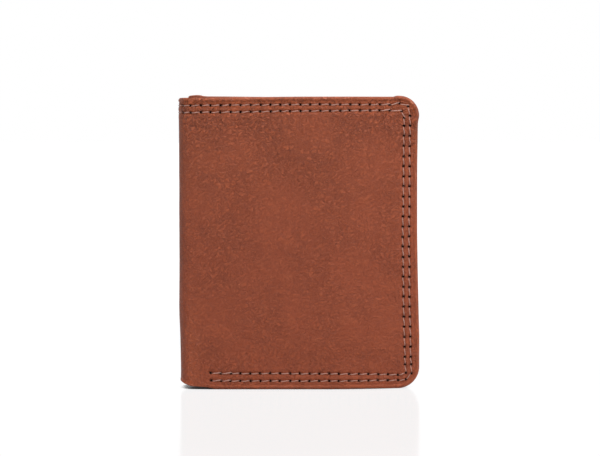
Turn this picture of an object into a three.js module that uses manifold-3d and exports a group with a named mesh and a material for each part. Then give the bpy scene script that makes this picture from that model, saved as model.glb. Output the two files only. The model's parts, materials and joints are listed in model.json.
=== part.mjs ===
// Portrait bifold wallet in tan leather, closed, standing on its bottom edge.
// Millimetres, +Z up. Origin: centre of the closed wallet's footprint, on the bottom edge.
// The spine is at -X, the free edges at +X, the front cover at -Y and the back cover at +Y.
//
// The wallet is two halves joined by a soft spine. Each half is a stack of thin layers. A layer's
// depths are counted from the outer face of its own cover towards the middle of the wallet:
//   outer shell                     0.00 to 1.20, and to 1.90 where its edge is turned in
//   lining, inside the turned edge  1.30 to 1.55
//   note divider                    2.10 to 2.35
//   inner wall, behind the pockets  2.90 to 3.40
//   four tiers of pockets           4.20 to 8.60
// Shell, lining, divider and inner wall run round the spine. Each is made in three pieces, one for
// each rigid body: front half, spine, back half.

import * as THREE from 'three';
import { mergeVertices } from 'three/addons/utils/BufferGeometryUtils.js';
import Module from 'manifold-3d';

// ---------------------------------------------------------------- driving dimensions
const WIDTH = 100;                // spine to free edge
const HEIGHT = 121.3;             // bottom edge to the top hem
const THICK = 18;                 // cover face to cover face
const SPINE_R = 4.5;              // outer radius where a cover turns into the spine
const HALF_T = THICK / 2;
const X_SPINE = -WIDTH / 2;
const X_BEND = X_SPINE + SPINE_R; // where a cover's flat ends and its bend starts
const Y_BEND = HALF_T - SPINE_R;  // distance of a bend's centre from the middle plane
const CUT_GAP = 0.3;              // space between a spine piece and the same layer of a half
const CUT_ANGLE = 45;             // where a bend is cut, in degrees from -X towards the cover
const FLAT_START = X_BEND + CUT_GAP; // spine end of the layers that are flat in each half

// Layers, each as [outer depth, inner depth]
const SHELL = [0, 1.2];
const LINING = [1.3, 1.55];
const DIVIDER = [2.1, 2.35];
const WALL = [2.9, 3.4];

// Pocket tiers, numbered 0 to 3 from the inner wall towards the middle
const TIER_LEATHER = 0.5;
const CARD_ROOM = 0.8;            // for a 0.76 card
const TIER_PITCH = TIER_LEATHER + CARD_ROOM;
const TOP_MOUTH = 100;            // height of the highest pocket's mouth
const BAND_SHOWN = 15;            // visible leather of an upper pocket
const MOUTHS = [0, 1, 2, 3].map((tier) => TOP_MOUTH - BAND_SHOWN * tier);
const PANEL_X = [-45.2, 48.2];    // 86.4 between the pockets' seams, for a card of 85.6
const PANEL_BOTTOM = 0.9;
const PANEL_CORNER = 7;

// Stitching
const HEM_ROWS = { outer: 118.05, inner: 115.2 }; // heights of the rows under the top hem
const HEM_ROW_END = 40.4;         // X where the hem rows stop
const THREAD_W = 0.5;
const THREAD_DEPTHS = [0.1, 0.45]; // the thread lies below the leather's surface
const UNDER_THREAD_W = 0.4;

// The halves, by the sign of their Y
const FRONT = -1;
const BACK = 1;
const SIDES = [FRONT, BACK];
const sideName = (side) => (side === FRONT ? 'front' : 'back');

// ---------------------------------------------------------------- materials
const nonMetal = (settings) => new THREE.MeshStandardMaterial({ metalness: 0, ...settings });

const outerLeather = nonMetal({ color: 0x8b4a37, roughness: 0.55 });
const innerLeather = nonMetal({ color: 0x84462f, roughness: 0.58 });
const pocketLeather = nonMetal({ color: 0x8f4e36, roughness: 0.56 });
const liningCloth = nonMetal({ color: 0x5a4132, roughness: 0.9 });
const tailCloth = nonMetal({ color: 0x4c382c, roughness: 0.92 });
const threadMaterial = nonMetal({ color: 0xbd948a, roughness: 0.75 });
const clearFilm = nonMetal({
  color: 0xe8ecec, roughness: 0.12, transparent: true, opacity: 0.35,
});

// ---------------------------------------------------------------- group
const wallet = new THREE.Group();
wallet.name = 'bifold_wallet';

function add(name, geometry, material) {
  const mesh = new THREE.Mesh(geometry, material);
  mesh.name = name;
  wallet.add(mesh);
}

// ---------------------------------------------------------------- solids
const wasm = await Module();
wasm.setup();

function toSolid(geometry) {
  // Only positions may count when vertices are merged, or the solid would not close.
  geometry.deleteAttribute('normal');
  geometry.deleteAttribute('uv');
  const merged = mergeVertices(geometry, 1e-4);
  return new wasm.Manifold(new wasm.Mesh({
    numProp: 3,
    vertProperties: new Float32Array(merged.attributes.position.array),
    triVerts: new Uint32Array(merged.index.array),
  }));
}

function toGeometry(solid) {
  const mesh = solid.getMesh();
  const geometry = new THREE.BufferGeometry();
  const positions = new Float32Array(mesh.vertProperties);
  geometry.setAttribute('position', new THREE.BufferAttribute(positions, 3));
  geometry.setIndex(new THREE.BufferAttribute(new Uint32Array(mesh.triVerts), 1));
  geometry.computeVertexNormals();
  return geometry;
}

const toVectors = (points) => points.map(([x, y]) => new THREE.Vector2(x, y));

function extrude(points, depth, hole) {
  const shape = new THREE.Shape(toVectors(points));
  if (hole) shape.holes.push(new THREE.Path(toVectors(hole).reverse()));
  return new THREE.ExtrudeGeometry(shape, { depth, bevelEnabled: false });
}

// A prism standing on a plan profile in X and Y.
function planPrism(profile, [z0, z1]) {
  return extrude(profile, z1 - z0).translate(0, 0, z0);
}

// A plate with a front outline in X and Z, and an optional hole.
function frontPlate(outline, [y0, y1], hole) {
  return extrude(outline, y1 - y0, hole).rotateX(Math.PI / 2).translate(0, y1, 0);
}

// A plate in one half, between two depths.
function flatLayer(side, [outer, inner], outline, hole) {
  const ySpan = side === FRONT
    ? [-HALF_T + outer, -HALF_T + inner]
    : [HALF_T - inner, HALF_T - outer];
  return frontPlate(outline, ySpan, hole);
}

// ---------------------------------------------------------------- front outlines
// Points of an arc, with its angles in degrees.
function arc(x, z, radius, from, to, steps = 8) {
  const points = [];
  for (let i = 0; i <= steps; i++) {
    const angle = THREE.MathUtils.degToRad(from + ((to - from) * i) / steps);
    points.push([x + radius * Math.cos(angle), z + radius * Math.sin(angle)]);
  }
  return points;
}

// The radii are those of the corners at bottom -X, bottom +X, top +X and top -X.
function roundedRect([x0, x1], [z0, z1], radii) {
  const corners = [[x0, z0, 1, 1], [x1, z0, -1, 1], [x1, z1, -1, -1], [x0, z1, 1, -1]];
  return corners.flatMap(([x, z, inwardX, inwardZ], i) => {
    const radius = radii[i];
    if (radius === 0) return [[x, z]];
    const start = 180 + 90 * i;
    return arc(x + inwardX * radius, z + inwardZ * radius, radius, start, start + 90, 6);
  });
}

// A ribbon of constant width along a path, lengthened at both ends by `extend`.
function ribbon(path, width, extend = 0) {
  const points = toVectors(path);
  const last = points.length - 1;
  const direction = (i) => points[i + 1].clone().sub(points[i]).normalize();
  const startShift = direction(0).multiplyScalar(-extend);
  const endShift = direction(last - 1).multiplyScalar(extend);
  points[0].add(startShift);
  points[last].add(endShift);

  const left = [];
  const right = [];
  points.forEach((point, i) => {
    const before = direction(Math.max(i - 1, 0));
    const after = direction(Math.min(i, last - 1));
    const tangent = before.clone().add(after).normalize();
    const mitre = 1 / Math.max(0.5, tangent.dot(before));
    const offset = new THREE.Vector2(-tangent.y, tangent.x).multiplyScalar((width / 2) * mitre);
    left.push([point.x + offset.x, point.y + offset.y]);
    right.push([point.x - offset.x, point.y - offset.y]);
  });
  return [...left, ...right.reverse()];
}

// ---------------------------------------------------------------- plan profiles round the spine
// Points of a bend: 0 degrees faces -X along the spine, and 90 degrees faces the cover.
function bendPoints(side, radius, from, to) {
  return arc(0, 0, radius, from, to, 5)
    .map(([along, across]) => [X_BEND - along, side * (Y_BEND + across)]);
}

// The angle that takes up half the cut's gap at a radius.
const halfGap = (radius) => THREE.MathUtils.radToDeg(Math.asin(CUT_GAP / 2 / radius));

// A layer in one half, from the cut half-way round the bend straight on to xEnd.
function halfProfile(side, [outer, inner], xEnd) {
  const outerR = SPINE_R - outer;
  const innerR = SPINE_R - inner;
  return [
    ...bendPoints(side, outerR, CUT_ANGLE + halfGap(outerR), 90),
    [xEnd, side * (HALF_T - outer)],
    [xEnd, side * (HALF_T - inner)],
    ...bendPoints(side, innerR, 90, CUT_ANGLE + halfGap(innerR)),
  ];
}

// A layer round the spine, whose bends end at the angle that `endAngle` gives for a radius.
function spineProfile([outer, inner], endAngle) {
  const outerR = SPINE_R - outer;
  const innerR = SPINE_R - inner;
  return [
    ...bendPoints(FRONT, outerR, endAngle(outerR), 0),
    ...bendPoints(BACK, outerR, 0, endAngle(outerR)),
    ...bendPoints(BACK, innerR, endAngle(innerR), 0),
    ...bendPoints(FRONT, innerR, 0, endAngle(innerR)),
  ];
}

const cutSpine = (depths) => spineProfile(depths, (radius) => CUT_ANGLE - halfGap(radius));
const fullSpine = (depths) => spineProfile(depths, () => 90);

// A layer cut at the two bends, its halves reaching to xEnd.
function addCutLayer(name, depths, xEnd, zSpan, material) {
  add(`${name}_front`, planPrism(halfProfile(FRONT, depths, xEnd), zSpan), material);
  add(`${name}_spine`, planPrism(cutSpine(depths), zSpan), material);
  add(`${name}_back`, planPrism(halfProfile(BACK, depths, xEnd), zSpan), material);
}

// A layer with a flat plate in each half and a spine piece that holds both whole bends.
function addPlateLayer(name, depths, outline, spineZ, material) {
  add(`${name}_front`, flatLayer(FRONT, depths, outline), material);
  add(`${name}_spine`, planPrism(fullSpine(depths), spineZ), material);
  add(`${name}_back`, flatLayer(BACK, depths, outline), material);
}

// ---------------------------------------------------------------- closing seams
// Two parallel rows close each half: from the top free corner, down the free edge, round the
// bottom corner and along the bottom edge, stopping short of the spine. Points are [x, z].
const EDGE_ROWS = {
  outer: [
    [42, HEM_ROWS.outer], ...arc(42, HEM_ROWS.outer - 3.55, 3.55, 85, 0, 5),
    [45.5, 62], [45.8, 33], [46.5, 12],
    ...arc(42.5, 7.5, 4, 0, -90, 6), [32, 3.45], [-37.5, 3.5],
  ],
  inner: [
    [41.3, HEM_ROWS.inner], ...arc(41.2, HEM_ROWS.inner - 1.7, 1.7, 85, 0, 4),
    [42.9, 62], [43.3, 33], [44, 12.5], [44, 9], [43.3, 7.1],
    [41.5, 5.7], [38, 5.7], [29, 6.2], [10, 6.5], [-37.5, 6.6],
  ],
};

// ---------------------------------------------------------------- shell
// Front outline, [x, z]: the bottom edge lifts towards the spine, the free edge is a little wavy,
// and the turned top corner stands slightly proud of the hem beside it.
const OUTLINE_START = X_SPINE - 0.1; // just clear of the spine's face
const SHELL_OUTLINE = [
  [OUTLINE_START, 3.3], [-49.3, 2.9], [-48.4, 2.3], [-47.6, 2], [-46.8, 1.75], [-45.6, 1.4],
  [-44.3, 1.1], [-41, 0.95], [-38.5, 0.8], [-37.3, 0.5], [-36, 0.2], [-34.5, 0],
  ...arc(WIDTH / 2 - 9, 9, 9, 270, 360),
  [50, 22], [49.8, 28], [49.5, 40], [49.2, 52], [48.95, 65], [48.9, 90], [49, 102], [49.3, 108],
  ...arc(41.4, 113.5, 8.2, 0, 90),
  [40.2, 121.6], [39.4, 121.3], [38.5, HEIGHT - 0.05], [0, HEIGHT], [-20, 121.1], [-45, 120.9],
  [OUTLINE_START, 120.75],
];
const OVERCUT = 1;                // how far rough stock stands beyond the finished shell

const TURN_DEPTH = 1.9;           // shell and turned-in allowance together
const TURN_WIDTH = 9;             // height of the turned-in allowance, at top and bottom
const STOCK = [SHELL[0], TURN_DEPTH];
const RECESS = [SHELL[1], TURN_DEPTH + 0.6]; // cut through the stock's inner face
const RECESS_END = 40;            // X where the turned-in free edge starts
const RECESS_Z = [TURN_WIDTH, HEIGHT - TURN_WIDTH];

// The leather is drawn down into a shallow groove along a seam.
const GROOVE_W = 1;
const GROOVE = [-0.5, 0.6];       // from clear of the leather down to the groove's floor
const GROOVE_EXTEND = 0.3;        // how far a groove runs on past its thread

const outlineSolid = toSolid(
  frontPlate(SHELL_OUTLINE, [-HALF_T - OVERCUT, HALF_T + OVERCUT]));

// One piece of the shell, from the plan profiles of its stock, its recess and its hem grooves.
function shellPiece(stock, recess, groove) {
  let solid = toSolid(planPrism(stock, [-OVERCUT, HEIGHT + OVERCUT])).intersect(outlineSolid);
  solid = solid.subtract(toSolid(planPrism(recess, RECESS_Z)));
  for (const z of Object.values(HEM_ROWS)) {
    solid = solid.subtract(toSolid(planPrism(groove, [z - GROOVE_W / 2, z + GROOVE_W / 2])));
  }
  return solid;
}

function addShellHalf(side) {
  let solid = shellPiece(
    halfProfile(side, STOCK, WIDTH / 2 + OVERCUT),
    halfProfile(side, RECESS, RECESS_END),
    halfProfile(side, GROOVE, HEM_ROW_END + GROOVE_EXTEND),
  );
  for (const path of Object.values(EDGE_ROWS)) {
    const groove = flatLayer(side, GROOVE, ribbon(path, GROOVE_W, GROOVE_EXTEND));
    solid = solid.subtract(toSolid(groove));
  }
  add(`shell_${sideName(side)}`, toGeometry(solid), outerLeather);
}

function addShellSpine() {
  const solid = shellPiece(cutSpine(STOCK), fullSpine(RECESS), fullSpine(GROOVE));
  add('shell_spine', toGeometry(solid), outerLeather);
}

addShellHalf(FRONT);
addShellSpine();
addShellHalf(BACK);

// ---------------------------------------------------------------- lining of the note compartment
const LINING_GAP = 0.2;           // space between the lining and the turned-in edge
const LINING_Z = [RECESS_Z[0] + LINING_GAP, RECESS_Z[1] - LINING_GAP];
addCutLayer('lining', LINING, RECESS_END - LINING_GAP, LINING_Z, liningCloth);

// ---------------------------------------------------------------- note divider
// Its top edge is lower than the covers, so both note compartments can be seen into.
const DIVIDER_TOP = 112;
const DIVIDER_OUTLINE = roundedRect([FLAT_START, 47.8], [1.2, DIVIDER_TOP], [0, 7.5, 2, 0]);
addPlateLayer('note_divider', DIVIDER, DIVIDER_OUTLINE, [2.9, DIVIDER_TOP], liningCloth);

// ---------------------------------------------------------------- inner wall
// Its folded top edge stands a little above the hem beside the spine and falls below it further
// out. Points are [x, z].
const WALL_TOP = 122;             // beside the spine, the wallet's highest point
const WALL_FREE_TOP = 120.6;      // at the free corner
const WALL_CORNER_X = PANEL_X[1] - PANEL_CORNER;
const WALL_OUTLINE = [
  [FLAT_START, 2.4], [-38, 1],
  ...arc(WALL_CORNER_X, PANEL_BOTTOM + PANEL_CORNER, PANEL_CORNER, 270, 360, 6),
  ...arc(WALL_CORNER_X, WALL_FREE_TOP - PANEL_CORNER, PANEL_CORNER, 0, 90, 6),
  [0, 121], [-12, 121.2], [-30, 121.4], [-40.2, 121.5], [-41, 121.9], [FLAT_START, WALL_TOP],
];
addPlateLayer('inner_wall', WALL, WALL_OUTLINE, [3.2, WALL_TOP], innerLeather);

// ---------------------------------------------------------------- upper card pockets
const MOUTH_CORNER = 0.8;
const BAND_HEIGHT = BAND_SHOWN + 4; // the lowest 4 are covered by the next pocket

// A tail is the thin fabric below a pocket's leather band.
const TAIL_THICK = 0.2;
const TAIL_HEIGHT = 26;           // a card of 54 stands 9 above its mouth
const TAIL_GAP = 0.1;             // between a band and its tail
const TAIL_X = [PANEL_X[0] + 0.6, PANEL_X[1] - 0.4];
const WINDOW_TAIL_BOTTOM = 2.4;

function tierDepths(tier) {
  const inner = WALL[1] + TIER_PITCH * (tier + 1);
  return [inner - TIER_LEATHER, inner];
}

function addBand(side, tier) {
  const mouth = MOUTHS[tier];
  const corners = [0, 0, MOUTH_CORNER, MOUTH_CORNER];
  const outline = roundedRect(PANEL_X, [mouth - BAND_HEIGHT, mouth], corners);
  const name = `card_pocket_${sideName(side)}_${tier + 1}`;
  add(name, flatLayer(side, tierDepths(tier), outline), pocketLeather);
}

function addTail(side, tier) {
  const top = MOUTHS[tier] - BAND_HEIGHT - TAIL_GAP;
  // The last tail behind the identity window runs down to the bottom seam and backs the film.
  const backsWindow = side === BACK && tier === 2;
  const bottom = backsWindow ? WINDOW_TAIL_BOTTOM : top - TAIL_HEIGHT;
  const outline = roundedRect(TAIL_X, [bottom, top], [1, backsWindow ? 6 : 1, 0, 0]);
  const outer = tierDepths(tier)[0] + (TIER_LEATHER - TAIL_THICK) / 2;
  const name = `pocket_tail_${sideName(side)}_${tier + 1}`;
  add(name, flatLayer(side, [outer, outer + TAIL_THICK], outline), tailCloth);
}

for (const side of SIDES) {
  for (let tier = 0; tier < 3; tier++) {
    addBand(side, tier);
    addTail(side, tier);
  }
}

// ---------------------------------------------------------------- lowest pockets
const LOW = tierDepths(3);
const LOW_OUTLINE = roundedRect(
  PANEL_X, [PANEL_BOTTOM, MOUTHS[3]], [0, PANEL_CORNER, MOUTH_CORNER, MOUTH_CORNER]);

add('card_pocket_front_4', flatLayer(FRONT, LOW, LOW_OUTLINE), pocketLeather);

// Identity pocket: a leather frame round an opening, with clear film on its cover side.
const WINDOW_OPENING = roundedRect([-36, 35], [12, 48], [3, 3, 3, 3]);
const FILM_OUTLINE = roundedRect([-40, 39], [8.5, 51.5], [2, 2, 2, 2]);
const FILM = [LOW[0] - 0.25, LOW[0] - 0.05];

add('id_window_frame', flatLayer(BACK, LOW, LOW_OUTLINE, WINDOW_OPENING), pocketLeather);
add('id_window_film', flatLayer(BACK, FILM, FILM_OUTLINE), clearFilm);

// ---------------------------------------------------------------- hem threads
// Each row runs over the front, the spine and the back, and is cut at the two bends.
for (const [row, z] of Object.entries(HEM_ROWS)) {
  const zSpan = [z - THREAD_W / 2, z + THREAD_W / 2];
  addCutLayer(`thread_hem_${row}`, THREAD_DEPTHS, HEM_ROW_END, zSpan, threadMaterial);
}

// ---------------------------------------------------------------- closing and pocket threads
// An under thread lies on the pockets and steps down at each mouth.
const UNDER_CLEARANCE = 0.03;     // between the leather and the under thread
const UNDER_THICK = 0.22;
const MOUTH_CLEARANCE = 0.1;      // between a mouth and the step above it
const STAIRS_TOP = 119;
const UNDER_DEPTHS = [WALL[1] - 0.1, HALF_T]; // holds the whole of the stairs
const POCKET_END_SEAM = [[-44.1, 103], [-44.1, 3.5]]; // [x, z], beside the spine

// The steps' outline, [depth, z].
function stairsOutline() {
  const under = [];
  const over = [];
  const addStep = (surface, z, thick) => {
    const depth = surface + UNDER_CLEARANCE;
    under.push([depth, z]);
    over.push([depth + UNDER_THICK, z + thick]);
  };
  let surface = WALL[1];
  addStep(surface, STAIRS_TOP, 0);
  for (const mouth of MOUTHS) {
    addStep(surface, mouth + MOUTH_CLEARANCE, UNDER_THICK);
    surface += TIER_PITCH;
    addStep(surface, mouth + MOUTH_CLEARANCE, UNDER_THICK);
  }
  addStep(surface, 0, 0);
  return [...under, ...over.reverse()];
}

// The steps swept along X over the wallet's width.
function stairsSolid(side) {
  const profile = stairsOutline().map(([depth, z]) => [side * (HALF_T - depth), z]);
  // Local X becomes the wallet's Y, local Y its Z, and the sweep its X.
  const placement = new THREE.Matrix4().set(
    0, 0, 1, -WIDTH / 2,
    1, 0, 0, 0,
    0, 1, 0, 0,
    0, 0, 0, 1,
  );
  return toSolid(extrude(profile, WIDTH).applyMatrix4(placement));
}

function addSideThreads(side) {
  const name = sideName(side);
  const stairs = stairsSolid(side);
  const addUnder = (seam, path) => {
    const curtain = toSolid(flatLayer(side, UNDER_DEPTHS, ribbon(path, UNDER_THREAD_W)));
    add(`thread_${seam}_${name}`, toGeometry(curtain.intersect(stairs)), threadMaterial);
  };
  for (const [row, path] of Object.entries(EDGE_ROWS)) {
    const thread = flatLayer(side, THREAD_DEPTHS, ribbon(path, THREAD_W));
    add(`thread_edge_${row}_${name}`, thread, threadMaterial);
    addUnder(`under_${row}`, path);
  }
  // The pockets' ends beside the spine are sewn to the inner wall alone.
  addUnder('pocket_ends', POCKET_END_SEAM);
}

for (const side of SIDES) addSideThreads(side);

export default wallet;
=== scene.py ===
"""A leather bifold wallet, closed and standing on its bottom edge.

The spine is at -x and the free edge at +x, the front cover faces -y, and z is up. Shapes are
worked out in millimetres in the wallet's own unrolled coordinates: u runs along the outer face
from the middle of the spine to the free edge, z is height, and depth goes from the outer face
towards the middle of the closed wallet. side is FRONT (-1) or BACK (+1).
"""
import bmesh
import bpy
import json
import math
import numpy as np
from collections import namedtuple
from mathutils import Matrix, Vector
from types import SimpleNamespace


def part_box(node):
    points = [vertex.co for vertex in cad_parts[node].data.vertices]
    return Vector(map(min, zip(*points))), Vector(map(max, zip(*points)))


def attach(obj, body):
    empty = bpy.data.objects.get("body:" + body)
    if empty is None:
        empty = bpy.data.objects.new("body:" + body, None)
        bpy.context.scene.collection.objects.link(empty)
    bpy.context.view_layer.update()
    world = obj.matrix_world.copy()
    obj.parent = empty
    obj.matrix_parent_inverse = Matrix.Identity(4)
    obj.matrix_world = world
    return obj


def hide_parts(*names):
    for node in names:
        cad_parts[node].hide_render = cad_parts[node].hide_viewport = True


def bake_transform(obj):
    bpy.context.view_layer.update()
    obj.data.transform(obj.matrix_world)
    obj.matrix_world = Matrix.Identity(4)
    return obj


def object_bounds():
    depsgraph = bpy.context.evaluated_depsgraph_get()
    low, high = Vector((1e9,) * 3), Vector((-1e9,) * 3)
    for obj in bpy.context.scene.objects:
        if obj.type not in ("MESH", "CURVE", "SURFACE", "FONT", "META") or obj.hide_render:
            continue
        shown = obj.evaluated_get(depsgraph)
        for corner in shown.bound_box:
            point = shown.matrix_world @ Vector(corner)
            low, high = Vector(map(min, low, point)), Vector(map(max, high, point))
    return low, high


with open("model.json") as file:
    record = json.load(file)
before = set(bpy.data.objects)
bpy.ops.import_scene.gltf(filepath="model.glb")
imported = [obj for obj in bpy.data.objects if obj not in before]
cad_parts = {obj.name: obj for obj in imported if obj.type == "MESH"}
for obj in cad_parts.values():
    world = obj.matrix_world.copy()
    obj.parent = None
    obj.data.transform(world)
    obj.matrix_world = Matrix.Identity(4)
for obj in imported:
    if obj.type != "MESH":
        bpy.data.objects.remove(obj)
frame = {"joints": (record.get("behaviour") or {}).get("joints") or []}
CAD_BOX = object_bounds()

MM = 0.001
PI = math.pi
FRONT, BACK = -1, 1
HALF_NAMES = {FRONT: "front", BACK: "back"}


# ---------------------------------------------------------------- sizes from the CAD pieces
def box_mm(node):
    """Lowest and highest corners of a CAD piece."""
    low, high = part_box(node)
    return [c * 1000 for c in low], [c * 1000 for c in high]


def extent(node):
    """(lowest x, highest x, lowest z, highest z) of a CAD piece."""
    low, high = box_mm(node)
    return low[0], high[0], low[2], high[2]


SPINE_X = box_mm("shell_spine")[0][0]
HALF_THICK = -box_mm("shell_front")[0][1]
HINGE = next(j for j in frame["joints"] if j["name"] == "front_fold")
# the hinge lies halfway round the bend between the spine and the cover
BEND_RADIUS = (HINGE["pos_m"][0] * 1000 - SPINE_X) / (1 - math.sqrt(0.5))
BEND_X, BEND_Y = SPINE_X + BEND_RADIUS, HALF_THICK - BEND_RADIUS
BEND_END = BEND_Y + BEND_RADIUS * PI / 2        # the u where the cover becomes flat

POCKETS = [box_mm(f"card_pocket_front_{i}") for i in (1, 2, 3, 4)]
MOUTHS = [high[2] for low, high in POCKETS]
BAND = MOUTHS[0] - POCKETS[0][0][2]             # height of a pocket's leather
TIER_FULL = [HALF_THICK + high[1] for low, high in POCKETS]
TAIL_FOOT = [box_mm(f"pocket_tail_back_{i}")[0][2] for i in (1, 2, 3)]
WALL_TOP = box_mm("inner_wall_spine")[1][2]
WALL_FULL = HALF_THICK + box_mm("inner_wall_front")[1][1]
DIVIDER_TOP = box_mm("note_divider_front")[1][2]


def u_at(x):
    """The u of a place x on the flat part of a cover."""
    return BEND_END + (x - BEND_X)


PANEL = (u_at(POCKETS[0][0][0]), u_at(POCKETS[0][1][0]))     # the pockets' ends in u


# ---------------------------------------------------------------- curves
def smooth(t):
    t = np.clip(t, 0, 1)
    return t * t * (3 - 2 * t)


def gauss(x, width):
    return np.exp(-((x / width) ** 2))


def smooth_table(points, width):
    """A table of (place, value) pairs as a function, blurred over `width`."""
    places, values = np.array(points, float).T
    grid = np.linspace(places[0] - 6, places[-1] + 6, 2400)
    values = np.interp(grid, places, values)
    step = grid[1] - grid[0]
    reach = int(3 * width / step)
    kernel = gauss(np.arange(-reach - 1, reach + 2) * step, width)
    kernel /= kernel.sum()
    padded = np.pad(values, len(kernel) // 2, mode="edge")
    blurred = np.convolve(padded, kernel, mode="valid")
    return lambda x: np.interp(x, grid, blurred)


def waves(seed, length, count=14):
    """A smooth random field about 1 high, with features about `length` across."""
    rng = np.random.default_rng(seed)
    angle = rng.uniform(0, 2 * PI, count)
    rate = 2 * PI / (length * rng.uniform(0.7, 1.5, count))
    start = rng.uniform(0, 2 * PI, count)
    terms = list(zip(rate * np.cos(angle), rate * np.sin(angle), start))
    return lambda x, z: sum(np.sin(a * x + b * z + c) for a, b, c in terms) / math.sqrt(count)


LONG_WAVES = waves(seed=3, length=34)
MID_WAVES = waves(seed=5, length=13)
SHORT_WAVES = waves(seed=8, length=5.0)
TINY_WAVES = waves(seed=13, length=2.3, count=22)


def wave_u(side, u):
    """u for the wave fields, made flat at the middle of the spine so that both halves meet
    there without a crease."""
    return -side * (u * smooth(u / 2.0))


# ---------------------------------------------------------------- outline of the covers
Corner = namedtuple("Corner", "u z radius")
TOP_CORNER = Corner(u_at(41.4), 113.5, 8.2)
FOOT_CORNER = Corner(u_at(41.0), 9.0, 9.0)

# (u, z) along the top edge
top_z = smooth_table([
    (0, 120.75), (11.6, 120.85), (u_at(-20), 121.1), (u_at(0), 121.28), (u_at(20), 121.3),
    (u_at(38.6), 121.26), (u_at(39.8), 121.28), (u_at(40.3), 121.66), (u_at(41.4), 121.7),
    (u_at(60), 121.7)], 0.45)
# (u, z) along the bottom edge, which lifts beside the spine
foot_z = smooth_table([
    (0, 3.35), (4.5, 3.3), (7.05, 2.85), (8.4, 2.3), (9.6, 2.0), (10.5, 1.75), (11.5, 1.42),
    (12.8, 1.12), (16.1, 0.95), (18.6, 0.78), (19.8, 0.5), (21.1, 0.2), (22.8, 0.02), (26, 0),
    (60, 0), (120, 0)], 0.6)
# (z, u) up the free edge
plain_free_u = smooth_table([
    (9, u_at(50)), (22, u_at(50)), (28, u_at(49.8)), (40, u_at(49.5)), (52, u_at(49.2)),
    (65, u_at(48.97)), (90, u_at(48.9)), (102, u_at(49.0)), (108, u_at(49.05)),
    (113.5, u_at(49.2)), (118, u_at(49.4))], 2.0)


def free_u(z):
    """The free edge, led into both corner arcs."""
    top = smooth((z - 110.4) / 3.1)
    foot = smooth((20 - z) / 11)
    return (plain_free_u(z) * (1 - top) * (1 - foot)
            + top * (TOP_CORNER.u + TOP_CORNER.radius) * (1 - foot)
            + foot * (FOOT_CORNER.u + FOOT_CORNER.radius))


# Zones of the cover's border
TOP, TOP_TURN, FREE, FOOT_TURN, FOOT = range(5)


def zones(u, z):
    """(distance to the nearest edge of the cover, zone)."""
    from_top, from_foot, from_free = top_z(u) - z, z - foot_z(u), free_u(z) - u
    from_side = np.minimum(np.minimum(from_top, from_foot), from_free)
    in_top = (u > TOP_CORNER.u) & (z > TOP_CORNER.z)
    in_foot = (u > FOOT_CORNER.u) & (z < FOOT_CORNER.z)
    to_arc = [c.radius - np.hypot(u - c.u, z - c.z) for c in (TOP_CORNER, FOOT_CORNER)]
    inset = np.where(in_top, to_arc[0], np.where(in_foot, to_arc[1], from_side))
    zone = np.where(from_side == from_top, TOP, np.where(from_side == from_free, FREE, FOOT))
    return inset, np.where(in_top, TOP_TURN, np.where(in_foot, FOOT_TURN, zone))


def corner_angles(u, z):
    """Degrees round the top and the bottom corner, 0 at the free edge."""
    return (np.degrees(np.arctan2(z - TOP_CORNER.z, u - TOP_CORNER.u)),
            np.degrees(np.arctan2(FOOT_CORNER.z - z, u - FOOT_CORNER.u)))


# ---------------------------------------------------------------- stitched rows
LONG_STITCHES, FREE_STITCHES = 24, 25           # along the top or bottom, down the free edge
TOP_PITCH = TOP_CORNER.u / LONG_STITCHES
FOOT_PITCH = FOOT_CORNER.u / LONG_STITCHES
FREE_PITCH = (TOP_CORNER.z - FOOT_CORNER.z) / FREE_STITCHES
FIRST_FOOT_HOLE = 5                             # the bottom rows stop short of the spine
FOOT_ROW_START = FOOT_PITCH * FIRST_FOOT_HOLE - 0.6

# Heights and places at which the rows' tables below give their values
FREE_STATIONS = [9, 12, 33, 62, 113.5]
FOOT_STATIONS = [-38, 10, 29, 41]

# The outer and the inner row. top: distance from the top edge at the spine, and how much less
# it is at the free end. free_x: x at FREE_STATIONS. foot: distance from the bottom edge at
# FOOT_STATIONS. *_turn: distance at the start and end of a corner, and how far the row swings
# out in its middle. *_turn_holes, hem_end: (x, z) of holes. free_start: z of a hole.
ROWS = [
    SimpleNamespace(
        top=(3.2, 0), free_x=[46.55, 46.45, 45.85, 45.55, 45.75], foot=[3.45] * 4,
        top_turn=(3.2, 3.85, 0.55), foot_turn=(3.45, 3.45, 0.75), groove=0.24,
        hem_end=None, top_turn_holes=[(44.95, 117.35)], free_start=TOP_CORNER.z,
        foot_turn_holes=[(46.7, 6.3), (44.4, 3.75)]),
    SimpleNamespace(
        top=(6.05, 0.4), free_x=[44.05, 43.95, 43.35, 42.9, 43.3], foot=[6.6, 6.5, 6.15, 5.7],
        top_turn=(5.65, 6.3, 0), foot_turn=(5.7, 5.95, 1.0), groove=0.22,
        hem_end=(42.3, 115.3), top_turn_holes=[], free_start=112.5,
        foot_turn_holes=[(44.4, 6.5)]),
]


def row_offset(row, u, z, zone):
    """Distance of a stitched row from the cover's edge."""
    def turn(shape, angle):
        start, end, swing = shape
        share = np.clip((90 - angle) / 90, 0, 1)
        return start + (end - start) * share - swing * np.sin(PI * share)

    top_angle, foot_angle = corner_angles(u, z)
    return np.choose(zone, [
        row.top[0] - row.top[1] * smooth((u - 20) / 80),
        turn(row.top_turn, top_angle),
        free_u(z) - u_at(np.interp(z, FREE_STATIONS, row.free_x)),
        turn(row.foot_turn, foot_angle),
        np.interp(u - BEND_END + BEND_X, FOOT_STATIONS, row.foot)])


def stitch_phase(u, z, zone):
    """Place along a row, counted in stitches."""
    top_angle, foot_angle = corner_angles(u, z)
    return np.choose(zone, [u / TOP_PITCH, top_angle / 45, (TOP_CORNER.z - z) / FREE_PITCH,
                            foot_angle / 45, u / FOOT_PITCH])


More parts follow.
